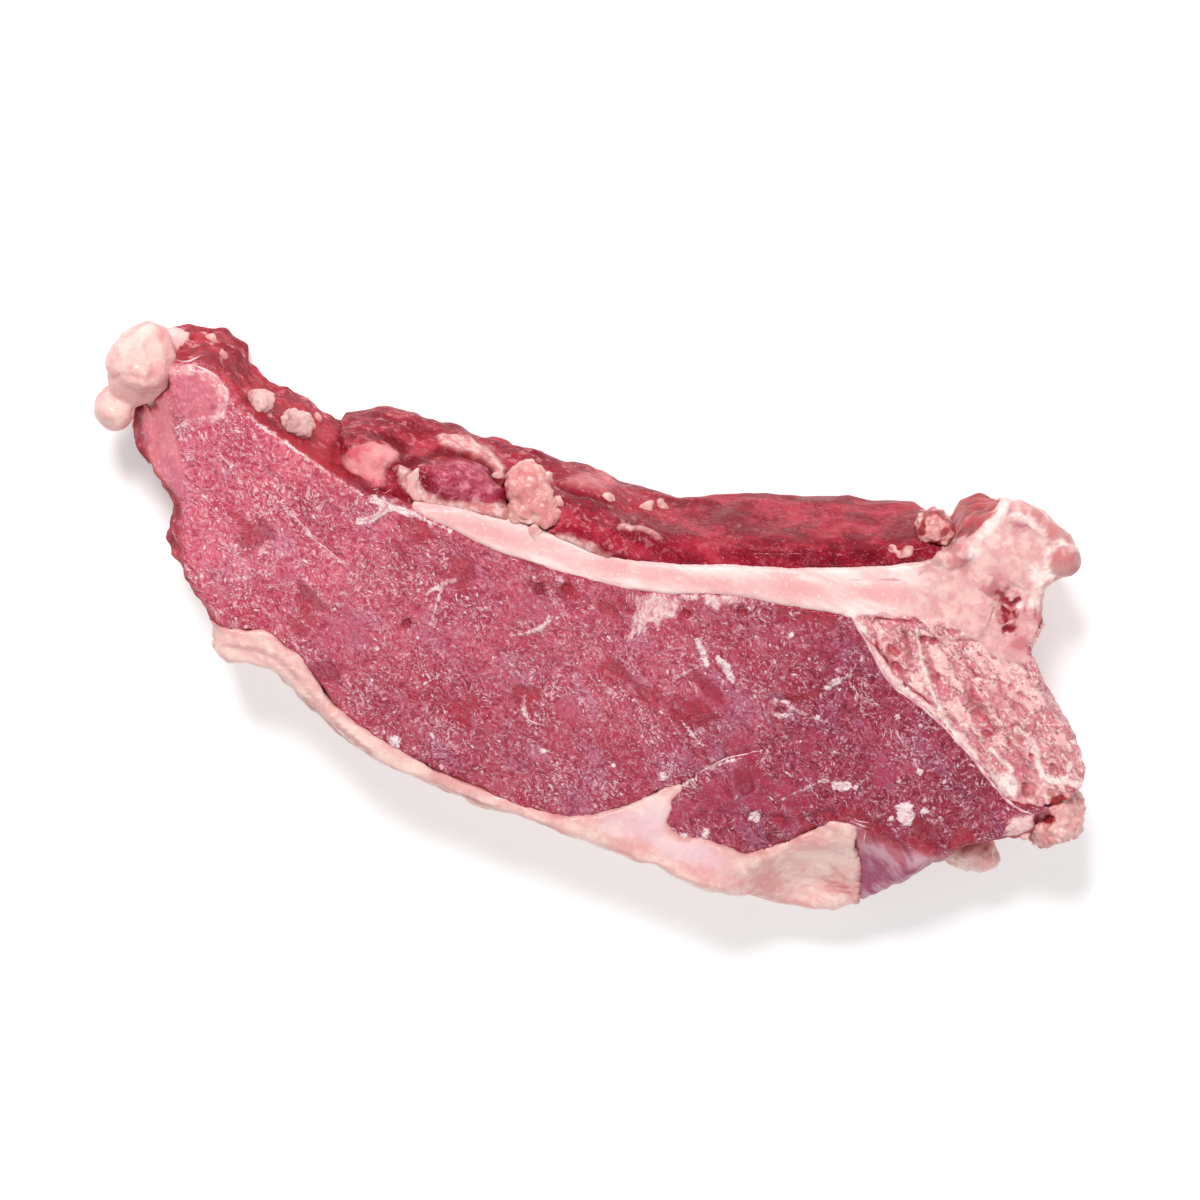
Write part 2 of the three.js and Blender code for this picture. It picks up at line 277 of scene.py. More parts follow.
# Marbling: flecks of fat, each x, y and radius, then streaks, each a width and its points. Two lines
# are named, because a strand of sinew follows them too.
FLECKS = [
    (73.7, -12.2, 2.4), (74.8, -14.2, 2.3), (71.6, -15.3, 0.9), (78, -10.9, 1.1), (56.6, -13, 1.2),
    (57.8, -12.5, 1.4), (59.2, -12, 1.2), (61, -11.6, 0.8), (33.3, 15.9, 0.8), (63.4, 7.4, 0.8),
    (73.3, -2.8, 0.9), (19.3, -25.3, 1.3), (42.5, -26.5, 1.6), (-40, -40.8, 1.6), (-63.4, 9.8, 1.4),
    (-8, -30, 0.8), (8, -27.5, 0.7), (-52, -22, 0.7), (46.4, 0.4, 0.8), (47.4, 9.8, 1.3),
]
LOW_CURL = [(-17, -19.3), (-15.9, -22.8), (-13.7, -24.9), (-9.8, -24.3)]
TAIL_HOOK = [(-63.9, 10.2), (-61.7, 10), (-62.8, 7.7), (-64.6, 5.1), (-66.6, 4)]
FAT_STREAKS = [
    (1.8, [(14.6, 6.9), (16.1, 5.1), (18.3, 2.7)]), (1.7, [(20, 4.8), (22.5, 3.6), (25.2, 1.3)]),
    (1.1, [(35.1, -1.4), (34.8, -0.4), (36.3, 0.6), (38.9, 1.1), (40.2, 0.1), (40, -1.6), (38.2, -2.6),
        (36, -2.4), (35.1, -1.4)]),
    (1.2, [(34.8, -0.8), (36.3, 0.6)]), (1.5, [(45.6, 7.6), (47.4, 9.8), (49.2, 11.6)]),
    (0.9, [(46.8, -20.2), (49.9, -16.9), (52, -14.4), (53.9, -12.7)]),
    (0.9, [(53.3, 7.4), (54.8, 6.1), (56.5, 4.4)]), (1.7, [(33.7, -34), (34.2, -38.5)]),
    (2.4, [(36.2, -36.2), (38.5, -36.2), (40.8, -38.2)]), (1.9, [(29, -36.8), (30.5, -39)]),
    (0.9, [(40.1, 0.3), (43.1, 0), (45.7, -0.1), (48.3, 0.1)]),
    (0.9, [(24.7, -25.6), (27.7, -21.7), (30, -18.4), (32.9, -15.9)]),
    (1, [(40.6, -12.8), (42.6, -13.3), (45.7, -14.4), (47.4, -14.7)]),
    (1.5, [(-41.6, -0.5), (-43.8, -2.4), (-45.8, -5)]), (0.8, [(-43.6, -4), (-43.3, -6.9), (-43.1, -9)]),
    (0.8, [(-25.5, -7.9), (-22.9, -6.5), (-21.1, -4.8)]),
    (1.3, [(-21.1, -4.8), (-19.3, -3.1), (-18.4, -0.5)]), (0.9, LOW_CURL),
    (0.7, [(-33.1, -4.1), (-31.1, -6.6)]), (0.7, [(-36.1, -19.8), (-37, -23.1), (-40, -26.7)]),
    (0.8, [(-29.1, -20.9), (-26.8, -23.3), (-23.3, -28.4)]), (1.7, TAIL_HOOK),
    (1.8, [(-65.5, 10), (-61.6, 9.7), (-56.3, 10.1), (-50.9, 10.3), (-47, 9.9)]),
    (0.8, [(-98.9, 17.3), (-94.8, 15.9), (-91.1, 15.1), (-84.9, 13.7), (-78.7, 12.1), (-73.2, 10.8),
        (-68, 10)]),
    (0.9, [(-112.2, 8.6), (-110.3, 10.9), (-107.1, 13.3), (-103.5, 14.9)]),
    (0.7, [(-101, 6.7), (-97.6, 5.2), (-94.9, 2.7), (-93.5, 1.8)]),
    (1.1, [(-85, 1.6), (-80.7, -0.3), (-76.2, -2.8), (-71.9, -4.8), (-66.4, -6.2)]),
    (0.8, [(12.7, -3.4), (16.1, 0.6), (18.3, 2.9)]), (0.7, [(18.1, -11.8), (21.5, -13.7), (24.9, -15.7)]),
    (0.7, [(50.7, 10.1), (53.3, 7.5), (55.9, 5.5)]), (0.7, [(52.6, 11.1), (55.1, 9.2), (58.4, 8)]),
]
FINE_STREAK = 1.55  # streaks up to this width are faint and broken
# The bone's rim under the vertebra, where pale skin covers the last of the lean
BONE_RIM = [
    (44, 25.4), (50.5, 20.7), (55.8, 16.2), (60.5, 13.7), (68.6, 11.8), (74.9, 9), (81.2, 6.3), (87.1, 2.7),
    (92.8, -0.4), (96.4, -2), (100.9, -2.1), (105, -1),
]
RIM_SKIN = [(3.4, [(x + 0.6, y + 1.1) for x, y in BONE_RIM[:9]])]
# Skin over the lean's corner under the bone, and the torn red hollow in it
CORNER_SKIN = [
    (96.9, -5.7), (98.1, -3.4), (101.7, -2.3), (104.4, 0.5), (108, 0), (109.2, -5.3), (105.6, -9.5),
    (100.2, -11), (97.3, -9.4),
]
CORNER_HOLLOW = [
    (101.8, -4.2), (101.8, -2.5), (104, -0.8), (106.2, -0.8), (107.2, -2.4), (105.6, -3.9), (103.6, -4.6),
]
# The skin of the bone plate, torn down onto the lean in jagged white tongues
TORN_SKIN = [
    [(-4.5, 10.5), (-1.5, 12.8), (3.5, 14.6), (7.5, 15.2), (8.2, 12.5), (7, 8.8), (5.4, 9.6), (5, 5),
        (2.9, 6.4), (3.6, 2.3), (1.6, 4.2), (0.9, 1.4), (2.8, -2.5), (3.5, -5.9), (1.5, -2.3), (-0.9, 1.9),
        (-0.6, 5.5), (-1.9, 6.5), (-1.6, 8.5), (-2.9, 8.5)],
    [(5.5, 14.8), (14, 18.5), (21.4, 20.7), (20.7, 18.7), (17.3, 17.2), (16, 14.6), (14.7, 15.4),
        (13.6, 15.2), (12, 16.4), (10.6, 15.4), (8.7, 14.2)],
]
# Smears of darker red, where the cut is smooth and wet
RED_SMEARS = [
    (-23.2, 4.8, 3.2), (-17.5, 6.4, 2.8), (-6.7, 7.9, 3.4), (-1.9, -6.6, 3.6), (8.9, -9.5, 3.2),
    (21.2, -3.9, 4), (19.3, -8.6, 3.4), (-28.1, -27.7, 4), (-54.6, 4.8, 3.6), (-41.7, 0.9, 3.2),
    (-15.4, -18.6, 3), (38, -19, 4.4), (60.5, -22, 4), (82, -17, 4), (-88, -8, 3.4), (-70, -20, 4),
    (25, 18.8, 2.2), (30, 20, 2.2), (35.5, 21.2, 2.2), (40.5, 22.8, 2), (-60, -30, 3), (77, -23, 3.4),
    (69, -20.5, 3), (88, -14.5, 3), (56, -24.5, 4), (65, -17.5, 3), (48, -27.5, 3),
]
DARK_PITS = [
    (-23, 4.5, 1.7), (-17.6, 6.7, 1.5), (21, 16.6, 1.4), (9.5, 11.6, 1.3), (-48, -14, 1.2), (38, -1.2, 0.9),
]
# Thin red seams between bundles
RED_SEAMS = [(1.6, [(37.6, 1.9), (40, 2.6), (41.8, 3.4), (44.5, 6.1), (46.2, 8.2)])]
# Patches cut so smooth that few fibre ends show
CALM_PATCHES = [
    (40.7, -21, 7), (33.5, -25.5, 5), (48.5, -23.5, 6), (55, -26.1, 4), (34, -14.3, 4), (45.9, -6.2, 4.5),
    (22.1, -4.5, 4.5), (26, -31.5, 3.5), (-22, 2, 4), (-60, -20, 5), (-6, -18, 4), (66, -6, 4),
]

lean = fine_copy("lean", LEAN_VOXEL)
co, normal = points_of(lean)
refine(lean, (normal[:, 2] > 0.55) & (co[:, 2] > HALF_WAY_UP))
co, normal = points_of(lean)
flat = on_drawing(co)
face = ease(0.35, 0.8, np.abs(normal[:, 2]))
seam = np.min([line_distance(flat, line) for line in MUSCLE_SEAMS], axis=0)
groove = np.exp(-((seam / 0.8) ** 2)) * face
torn = 0.5 * ripple(co, 1.7, 40) + 0.25 * ripple(co, 0.8, 41)
marbled = spots(flat, FLECKS, 0.8 * torn)
broad = [streak for streak in FAT_STREAKS if streak[0] > FINE_STREAK]
fine = [streak for streak in FAT_STREAKS if streak[0] <= FINE_STREAK]
marbled = np.maximum(marbled, streaks_along(flat, broad, 1.3 * torn))
faint = 0.6 + 0.5 * ripple(co, 3.5, 55)
marbled = np.maximum(marbled, faint * streaks_along(flat, fine, 1.6 * torn))
hang = ripple(drawn_out(co, math.radians(-75), 6.0), 0.8, 50)
rim = streaks_along(flat, RIM_SKIN, 0.6 * torn)
under_skin = highest(*[inside(flat, outline) for outline in TORN_SKIN])
shreds = ease(-0.5, 1.0, under_skin + 1.1 * hang + 0.6 * torn)
marbled = np.maximum(marbled, shreds * (0.66 + 0.35 * hang))
hollow = ease(-0.4, 0.8, inside(flat, CORNER_HOLLOW) + 0.8 * torn)
cover = ease(-1.2, 1.5, inside(flat, CORNER_SKIN) + 1.5 * torn) * (1 - hollow)
hem = streaks_along(flat, VEIL_HEM, 0.5 * torn) * (0.8 + 0.5 * hang)
marbled = highest(marbled, 0.9 * rim, 0.75 * cover, 0.6 * hem)
marbled = marbled * np.maximum(face, ease(-60, -64, flat[:, 0]))
ragged = ripple(drawn_out(co, GRAIN_TURN, 4.0), 2.5, 31)
smeared = 0.85 * spots(flat, RED_SMEARS, 1.5 * ragged + 0.5 * ripple(co, 6, 32))
# The gap under the tail's edge joins the smears: dark red wet meat with painted shade
gap = ease(-0.6, 0.6, inside(flat, SHADED_WET_GAP) + 0.5 * torn)
smeared = highest(smeared, gap, 0.8 * streaks_along(flat, RED_SEAMS, 0.8 * torn))
pitted = np.maximum(spots(flat, DARK_PITS, torn), hollow)
calm = spots(flat, CALM_PATCHES, 0.9 * ragged + 0.5 * ripple(co, 5, 34))
silver = ease(-1.5, 2.5, inside(flat, SILVER_SKIN))
tail_skin = ease(-0.8, 1.2, inside(flat, TAIL_SKIN))
veiled = ease(-2.0, 3.5, inside(flat, TAIL_VEIL))
flap = ease(-0.4, 0.8, inside(flat, PINK_FLAP) + 0.5 * torn)
thin_skin = 0.9 * highest(hem, rim, cover)
smooth_skin = highest(tail_skin, silver, 0.8 * veiled, thin_skin, 0.55 * shreds, flap)
wall = (1 - face) * (1 - 0.8 * silver) * (1 - flap)
rough = 1 - np.maximum(smooth_skin, 0.75 * wall)
hung = co * (1, 1, 0.35)  # side folds run down the wall
close_by = touch(lean, "lean")
strokes = ripple(drawn_out(co, GRAIN_TURN, 2.4), 1.5, 6)
sculpt(lean, MM * (
    0.12 + 0.45 * close_by
    - 0.5 * groove
    + 0.3 * marbled
    - 0.25 * smeared
    - 1.0 * pitted
    + 0.4 * ripple(co, 8, 2) * face
    + 0.26 * strokes * rough
    + 0.24 * ripple(co, 1, 4) * rough
    + 0.14 * (cells(co, 2.6) - 0.8) * rough
    + (0.9 * ripple(hung, 6, 9) + 0.6 * ripple(hung, 2.2, 1)) * (1 - face) * (1 - close_by)
    + 0.8 * flap
    + 1.2 * ripple(co, 4, 19) * wall * ease(-88, -98, flat[:, 0])
))
dusk = (
    0.05 + 0.42 * ease(-100, -30, flat[:, 0]) + 0.5 * ease(0, 60, flat[:, 0])
    + 0.18 * ease(-8, -34, flat[:, 1]) + 0.3 * groove + 0.16 * ripple(co, 12, 5))
paint(lean, skin=smooth_skin, silver=silver, wall=wall, calm=calm, dusk=dusk,
      smear=np.maximum(0.85 * smeared, 1.4 * pitted) * (1 - marbled),
      marbling=marbled * (0.85 + 0.4 * torn))


def colour(code):
    """A colour code such as b25562 as the linear colour that a shader takes."""
    parts = [int(code[i:i + 2], 16) / 255 for i in (0, 2, 4)]
    return [p / 12.92 if p <= 0.04045 else ((p + 0.055) / 1.055) ** 2.4 for p in parts] + [1.0]


def wire(tree, socket, value):
    """Sets a socket to a value or a colour code's colour, or links another node's output to it."""
    if isinstance(value, bpy.types.NodeSocket):
        tree.links.new(value, socket)
    else:
        socket.default_value = colour(value) if isinstance(value, str) else value


def feed(tree, sockets, **values):
    """Wires several sockets of a node by their names."""
    for name, value in values.items():
        wire(tree, sockets[name.replace("_", " ")], value)


def shader(tree, kind, sockets=(), **settings):
    """A shader node with its settings and its sockets."""
    made = tree.nodes.new("ShaderNode" + kind)
    for name, value in settings.items():
        setattr(made, name, value)
    for name, value in dict(sockets).items():
        wire(tree, made.inputs[name], value)
    return made


def blend(tree, amount, a, b):
    """The colour a turned into b by an amount."""
    sockets = {0: amount, 6: a, 7: b}
    return shader(tree, "Mix", sockets, data_type="RGBA", clamp_factor=True).outputs[2]


def maths(tree, operation, a, b=0.0, clamp=False):
    """One step of arithmetic on two values."""
    return shader(tree, "Math", {0: a, 1: b}, operation=operation, use_clamp=clamp).outputs[0]


def times(tree, a, b, clamp=False):
    """The product of two values."""
    return maths(tree, "MULTIPLY", a, b, clamp)


def plus(tree, a, b):
    """The sum of two values."""
    return maths(tree, "ADD", a, b)


def weighed(tree, *shares):
    """The sum of several values, each times its own weight."""
    total = times(tree, *shares[0])
    for share in shares[1:]:
        total = plus(tree, total, times(tree, *share))
    return total


def off_middle(tree, value):
    """How far noise between 0 and 1 is above its middle."""
    return maths(tree, "SUBTRACT", value, 0.5)


def between(tree, value, low, high, start=0, end=1):
    """A value's stretch from low to high, spread smoothly from start to end."""
    ends = {"Value": value, "From Min": low, "From Max": high, "To Min": start, "To Max": end}
    return shader(tree, "MapRange", ends, interpolation_type="SMOOTHSTEP").outputs["Result"]


def layered(tree, base, *layers):
    """A colour with others laid over it in turn. Each layer is a colour and a mask, then perhaps the
    mask's strength, or the values of the mask where it sets in and is full, and its strength there."""
    for over, mask, *reach in layers:
        if len(reach) == 1:
            mask = times(tree, mask, *reach)
        if len(reach) == 3:
            mask = between(tree, mask, reach[0], reach[1], 0, reach[2])
        base = blend(tree, mask, base, over)
    return base


def cloud(tree, at, scale, detail, roughness):
    """Noise between 0 and 1, with scale bumps to the metre."""
    sockets = {"Vector": at, "Scale": scale, "Detail": detail, "Roughness": roughness}
    return shader(tree, "TexNoise", sockets).outputs["Fac"]


def stirred(tree, onto, at, scale, reach, detail=2):
    """Positions pushed about by noise with scale bumps to the metre."""
    drift = shader(tree, "TexNoise", {"Vector": at, "Scale": scale, "Detail": detail})
    push = shader(tree, "VectorMath", {0: drift.outputs["Color"], "Scale": reach}, operation="SCALE")
    return shader(tree, "VectorMath", {0: onto, 1: push.outputs[0]}, operation="ADD").outputs[0]


def in_grain(tree, at, turn, stretch):
    """Positions in a grain that runs at an angle to the slice, stretched along its own axes."""
    sockets = {"Vector": at, "Rotation": (0.0, 0.0, turn), "Scale": stretch}
    return shader(tree, "Mapping", sockets, vector_type="TEXTURE").outputs[0]


def painted(tree, *names):
    """The masks of those names that a piece was painted with."""
    return [shader(tree, "Attribute", attribute_name=name).outputs["Fac"] for name in names]


def emboss(tree, surface, height, strength, reach=0.0005):
    """Low relief on a surface."""
    bump = shader(tree, "Bump", {"Height": height, "Strength": strength, "Distance": reach})
    feed(tree, surface, Normal=bump.outputs["Normal"])


def new_group(name, inputs, outputs):
    """A shader node group, with a vector socket where an input's value is None, and its two ends."""
    tree = bpy.data.node_groups.new(name, "ShaderNodeTree")
    for label, value in inputs.items():
        kind = "NodeSocketVector" if value is None else "NodeSocketFloat"
        socket = tree.interface.new_socket(label, in_out="INPUT", socket_type=kind)
        if value is not None:
            socket.default_value = value
    for label in outputs:
        tree.interface.new_socket(label, in_out="OUTPUT", socket_type="NodeSocketFloat")
    return tree, tree.nodes.new("NodeGroupInput").outputs, tree.nodes.new("NodeGroupOutput").inputs


def placed(tree, group, **given):
    """The outputs of a node group that is placed in a material with its own values."""
    made = shader(tree, "Group", node_tree=group)
    feed(tree, made.inputs, **given)
    return made.outputs


def new_material(name, **finish):
    """A material, its shader with the finish that is the same all over, and Object coordinates."""
    material = bpy.data.materials.new(name)
    material.use_nodes = True
    tree = material.node_tree
    surface = tree.nodes["Principled BSDF"].inputs
    for socket, value in finish.items():
        surface[socket.replace("_", " ").title().replace("Ior", "IOR")].default_value = value
    return material, tree, surface, shader(tree, "TexCoord").outputs["Object"]


# The grain of raw meat, the same in every muscle: short strokes, lighter and darker, that run one
# way, and a mask of glints where the wet ends of the fibres catch the light, which the materials paint
# into the colour as pale highlights and which also raises the relief.
tree, given, result = new_group("meat_grain", {"Vector": None}, ("Tone", "Ticks", "Height"))
warped = stirred(tree, given["Vector"], given["Vector"], 230, 0.004)
flow = in_grain(tree, warped, GRAIN_TURN, (1.5, 1, 1))
strokes = cloud(tree, flow, 1250, 2, 0.6)
dust = cloud(tree, warped, 2200, 1, 0.5)
clumps = cloud(tree, warped, 420, 2, 0.55)
crowd = off_middle(tree, cloud(tree, given["Vector"], 110, 3.5, 0.65))
tone = weighed(tree, (strokes, 0.5), (dust, 0.28), (clumps, 0.22))
sparkle = weighed(tree, (strokes, 0.5), (dust, 0.5), (crowd, 0.36))
# The glint mask: fine ticks where the noise peaks and round dots of two sizes, painted into the colour as
# highlights
painted_glints = between(tree, sparkle, 0.53, 0.64, 0, 0.45)
shaken = stirred(tree, flow, given["Vector"], 1300, 0.0003, 1)
for scale, rarity in ((920.0, 0.42), (1600.0, 0.45)):
    dots = shader(tree, "TexVoronoi", {"Vector": shaken, "Scale": scale})
    drawn = shader(tree, "SeparateColor", {"Color": dots.outputs["Color"]}).outputs
    size = between(tree, plus(tree, drawn[1], crowd), rarity, 1.1, 0, 0.46)
    glint = times(tree, maths(tree, "SUBTRACT", size, dots.outputs["Distance"], True), 6.0, True)
    glint = times(tree, glint, between(tree, drawn[2], 0, 1, 0.45, 1))
    painted_glints = maths(tree, "MAXIMUM", painted_glints, glint)
height = plus(tree, plus(tree, strokes, times(tree, dust, 0.5)), times(tree, painted_glints, 0.5))
feed(tree, result, Tone=tone, Ticks=painted_glints, Height=height)
meat_grain = tree

lean_meat, tree, surface, at = new_material(
    "lean_meat", coat_roughness=0.12, specular_ior_level=0.16, subsurface_weight=0.08,
    subsurface_scale=0.0015, subsurface_radius=(1, 0.3, 0.25))
skin, silver, wall, calm, smear, marbling, dusk = painted(
    tree, "skin", "silver", "wall", "calm", "smear", "marbling", "dusk")
grain = placed(tree, meat_grain, Vector=at)
smears = cloud(tree, in_grain(tree, at, GRAIN_TURN, (2.2, 1, 1.2)), 150, 4, 0.6)
patches = cloud(tree, at, 60, 3, 0.6)
tufts = cloud(tree, at, 330, 3, 0.6)
# Room for the painted highlights: fewer glints on smears, calm patches and smooth skin
room = maths(tree, "SUBTRACT", 1.0, weighed(tree, (smear, 0.8), (calm, 0.7)), True)
room = times(tree, room, between(tree, skin, 0.2, 0.8, 0.9, 0.12))
# The silver skin: its own grey-lilac, with its sheen painted into the colour
sheen = layered(tree, "94486a", ("c8a4b4", smears, 0.42, 0.58, 1))
veil = layered(
    tree, "c46c80", ("de868e", smears, 0.4, 0.6, 1), ("f0b8c0", grain["Tone"], 0.5, 0.62, 0.3),
    (sheen, silver, 0.8))
# The sides: wet deep red with pale bits, darker than the cut face partly as painted shade
wet_shaded_wall = layered(
    tree, "8c0a1a", ("b82c3a", smears, 0.42, 0.6, 1), ("cc606c", tufts, 0.52, 0.62, 0.7),
    ("eeb4b8", tufts, 0.62, 0.68, 0.7), ("780414", tufts, 0.44, 0.34, 0.7))
blood_red = layered(tree, "861020", ("ac2634", smears, 0.4, 0.6, 1))
fray = times(tree, off_middle(tree, grain["Tone"]), between(tree, skin, 0.2, 0.8, 1.5, 0.3))
fatty = layered(
    tree, "dcaab8", ("f6e4e2", grain["Tone"], 0.42, 0.54, 1), ("f0cabc", skin, 0.6),
    ("f4e0d4", marbling, 0.75, 1, 0.5))
base = layered(
    tree, blend(tree, dusk, "db6c7e", "902a40"),
    ("b04460", patches, 0.42, 0.62, 0.45),
    (blend(tree, dusk, "bc3c50", "98223a"), smears, 0.53, 0.66, 0.65),
    (blend(tree, dusk, "d08aa4", "9c5a7c"), smears, 0.46, 0.34, 0.45),
    (blend(tree, dusk, "eeaab2", "c27486"), grain["Tone"], 0.5, 0.6, 0.5),
    (blend(tree, dusk, "a83250", "6a1028"), grain["Tone"], 0.49, 0.4, 0.8),
    (blend(tree, dusk, "c8607a", "b03a58"), calm, 0.5),
    # Painted highlights: pale glints laid into the colour
    (blend(tree, dusk, "fadce0", "e6bac8"), grain["Ticks"], room),
    (veil, skin, 0.85), (wet_shaded_wall, wall, 0.9), (blood_red, smear, 0.75),
    (fatty, plus(tree, marbling, fray), 0.18, 0.85, 0.94))
wet = plus(tree, between(tree, smears, 0.3, 0.7, 0.3, 0.42), times(tree, wall, 0.3))
feed(tree, surface, Base_Color=base, Roughness=wet, Coat_Weight=between(tree, wall, 0.1, 0.8, 0.25, 0.03))
emboss(tree, surface, grain["Height"], between(tree, skin, 0.2, 0.9, 0.85, 0.2))
lean.data.materials.append(lean_meat)


# The bone: one half of the backbone, a plate along the cavity side and the block of the vertebra at
# its end. The saw leaves the plate's hard rim smooth and ivory, and tears the red sponge of the block.
BONE_VOXEL = 0.8 * MM
PLATE_MIDDLE = [(-60, 11.2), (-54, 11.7), (-36, 12.8), (-16, 14), (10, 20), (40, 29.5), (56, 35)]
SPONGE = [
    (44.1, 25.2), (50.5, 20.9), (55.8, 16.5), (60.5, 14), (68.6, 12), (74.9, 9.3), (81.2, 6.6), (87.1, 3),
    (92.8, 0), (96.4, -1.6), (101, -1.8), (108, -4), (118, 8), (106, 26), (92, 33), (84.5, 29.5),
    (78, 28.8), (71.5, 31.2), (64.9, 31.4), (58.4, 30.6), (50.8, 28.6),
]
SPONGE_TURN = math.radians(-27)  # the sponge's plates run down from the plate's corner
SPONGE_DEPTH = 0.8
SPONGE_PITS = [
    (61.3, 26.1, 1), (67.8, 19.7, 1.2), (80.1, 14.7, 1.5), (77.8, 16.3, 1.2), (101.5, 9.2, 1.5),
    (98.5, 2.5, 2), (95.4, 10.2, 0.8), (103.4, 3.9, 1.1), (58.1, 29.6, 0.8), (63.2, 23.6, 0.7),
    (63.9, 26.4, 0.7), (81.8, 14.5, 1), (84.3, 11.4, 1.2), (92.1, 9.4, 1.1), (90.9, 5.2, 0.9),
    (58, 18.4, 0.8),
]
RED_CRACKS = [
    (0.8, [(49.5, 26.2), (54, 28), (59.5, 29.4)]), (0.9, [(56.5, 26), (59.5, 22.8), (61.5, 19.5)]),
    (0.9, [(62.5, 24.4), (66, 21), (68.5, 18.8)]), (0.9, [(77, 18), (81.5, 14.8), (85.5, 12)]),
    (0.8, [(89.5, 11), (94.5, 8.6)]), (0.8, [(71.5, 25), (76, 22.6)]), (0.9, [(51, 22), (53.5, 19.8)]),
]
# Hard ivory edges, each a width and its points: the rim under the sponge, its curled end, two plates
# in the sponge, then on the knob the white edge, the crest, the ring of the red lump and a splinter
HARD_EDGES = [
    (2.6, BONE_RIM),
    (1.5, [(90, 14.8), (93.4, 13.9), (96, 12), (97.6, 8.9), (99.8, 6.9), (102.8, 6.7), (105.5, 7.9),
        (108.1, 7.8)]),
    (1, [(102.8, 6.7), (105.1, 8.9), (104.2, 12)]),
    (0.9, [(59.1, 27.7), (61.5, 24.2), (63.4, 21), (66, 18.1), (69.2, 14.6), (73, 12)]),
    (1.2, [(86.3, 8), (92.3, 5.5)]), (2.6, [(91.2, 2.8), (93.8, 2.8), (94.8, 1.2)]),
    (2.4, [(65.6, 63.5), (65.7, 58.2), (64.2, 53), (64, 48.5)]),
    (1.8, [(68.8, 60.2), (72.7, 60.6), (76.6, 58.9)]),
    (1.1, [(82.3, 50.4), (80.2, 52.4), (79.6, 55.8), (81.4, 58.8), (84.8, 58.2)]),
    (1.4, [(77.5, 42.1), (78.4, 41.9)]), (2.6, [(78.3, 51.3), (80, 48.6), (80.9, 45.6), (81.1, 43.2)]),
]
# On the knob: the raw red side, the red lump, the salmon mass of gristle and its grains
RED_SIDE = [
    (47, 45), (53, 55), (58, 66), (65, 69), (64.6, 62.9), (63.8, 57.6), (62.4, 53.1), (60.2, 50.8),
    (56, 48.4),
]
RED_LUMP = [(80.6, 52.8), (80, 55.8), (81.8, 58.2), (84.6, 57.7), (88, 54.2), (84.9, 51.2), (82.3, 50.6)]
GRISTLE_MASS = [(57, 48.9), (62.1, 51.8), (64.3, 48.7), (63.1, 44.1), (59.7, 42.7), (56.1, 43.7)]
GRAINS = [(46, 43), (48.2, 49.9), (54.3, 52.5), (57, 49.8), (57.5, 45.9), (54.1, 42.5)]
NERVE_TEARS = [
    (1.7, [(72.9, 42.6), (74.3, 42.3)]), (1.4, [(74.3, 42.1), (76.1, 42), (77.3, 43.4)]),
    (1, [(74.3, 40.8), (75.5, 40)]), (0.9, [(76.9, 40.6), (77.9, 39.3)]),
    (0.9, [(75.3, 39.1), (76.4, 37.9)]), (1.7, [(77, 36.2), (78.8, 35.6), (79.6, 36.8)]),
]
NERVE_STAIN = [(76.2, 40.4, 4.2), (78.6, 35.8, 3.4), (73.2, 41.6, 2.6)]
FLUSH = [
    (73.2, 61.2, 3), (78.3, 60.5, 3.4), (82.6, 60, 3.2), (85.5, 56, 3.2), (84.7, 48, 3), (85, 42, 3),
    (59.9, 47.7, 3.2), (62.5, 45.5, 3), (56, 43, 3), (71.4, 43.6, 3.2), (69.6, 59.6, 2.6), (82, 34, 2.4),
]
# Lilac patches on the knob
LILAC_PATCHES = [(71.2, 59.6, 4.2), (67.6, 60.8, 2.4), (71.1, 43.2, 3.6)]
NERVE_MIDDLE = (76.4, 39.3)
NERVE_FILL = 6.5  # the hole is choked with torn marrow this far out
NERVE_FLOOR = 8 * MM  # and is left as it is below this
NERVE_RIM = 7.5  # and the bone round it is meshed finely as far as this
UPPER_FACE = 20 * MM  # what lies above this belongs to the cut face
RAW_PLACES = [(106, 1, 3.6), (86.5, 33.5, 2.4), (78.8, 35.9, 1.3)]

bone = fine_copy("bone", BONE_VOXEL, smoothing=1)
co, normal = points_of(bone)
flat = on_drawing(co)
wanted = np.maximum(inside(flat, SPONGE) + 2, NERVE_RIM - np.linalg.norm(flat - NERVE_MIDDLE, axis=1))
refine(bone, (normal[:, 2] > 0.5) & (co[:, 2] > UPPER_FACE) & (wanted > 0))
co, normal = points_of(bone)
flat = on_drawing(co)
face = ease(0.3, 0.7, np.abs(normal[:, 2]))
torn = ripple(co, 2, 21)
sponge = ease(-0.3, 0.9, inside(flat, SPONGE) + 0.9 * ripple(co, 3.5, 12))
side_sponge = (1 - face) * ease(60, 68, flat[:, 0]) * ease(34, 26, flat[:, 1])
sponge = np.maximum(sponge, 0.8 * side_sponge)
gristle = ease(50, 62, flat[:, 0]) * (1 - sponge)
plates = drawn_out(co + 0.8 * MM * torn[:, None], SPONGE_TURN, 3.0)
crumb = cells(plates, 1.9)
bands = ripple(plates, 3, 17)
fibres = ripple(plates, 1.2, 18)
hollow = ease(0.2, 0.45, bands) * ease(-0.1, 0.25, ripple(co, 2.2, 23))
shift = 0.7 * ripple(drawn_out(co, SPONGE_TURN, 3.5), 1.4, 25)
pits = spots(flat, SPONGE_PITS, shift + 0.3 * torn)
hollow = highest(hollow, pits, streaks_along(flat, RED_CRACKS, 0.6 * torn))
edge = streaks_along(flat, HARD_EDGES, 0.7 * torn)
hole = streaks_along(flat, NERVE_TEARS, 0.7 * torn)
lilac = spots(flat, LILAC_PATCHES, 0.6 + 0.6 * torn + 0.7 * ripple(co, 3, 27))
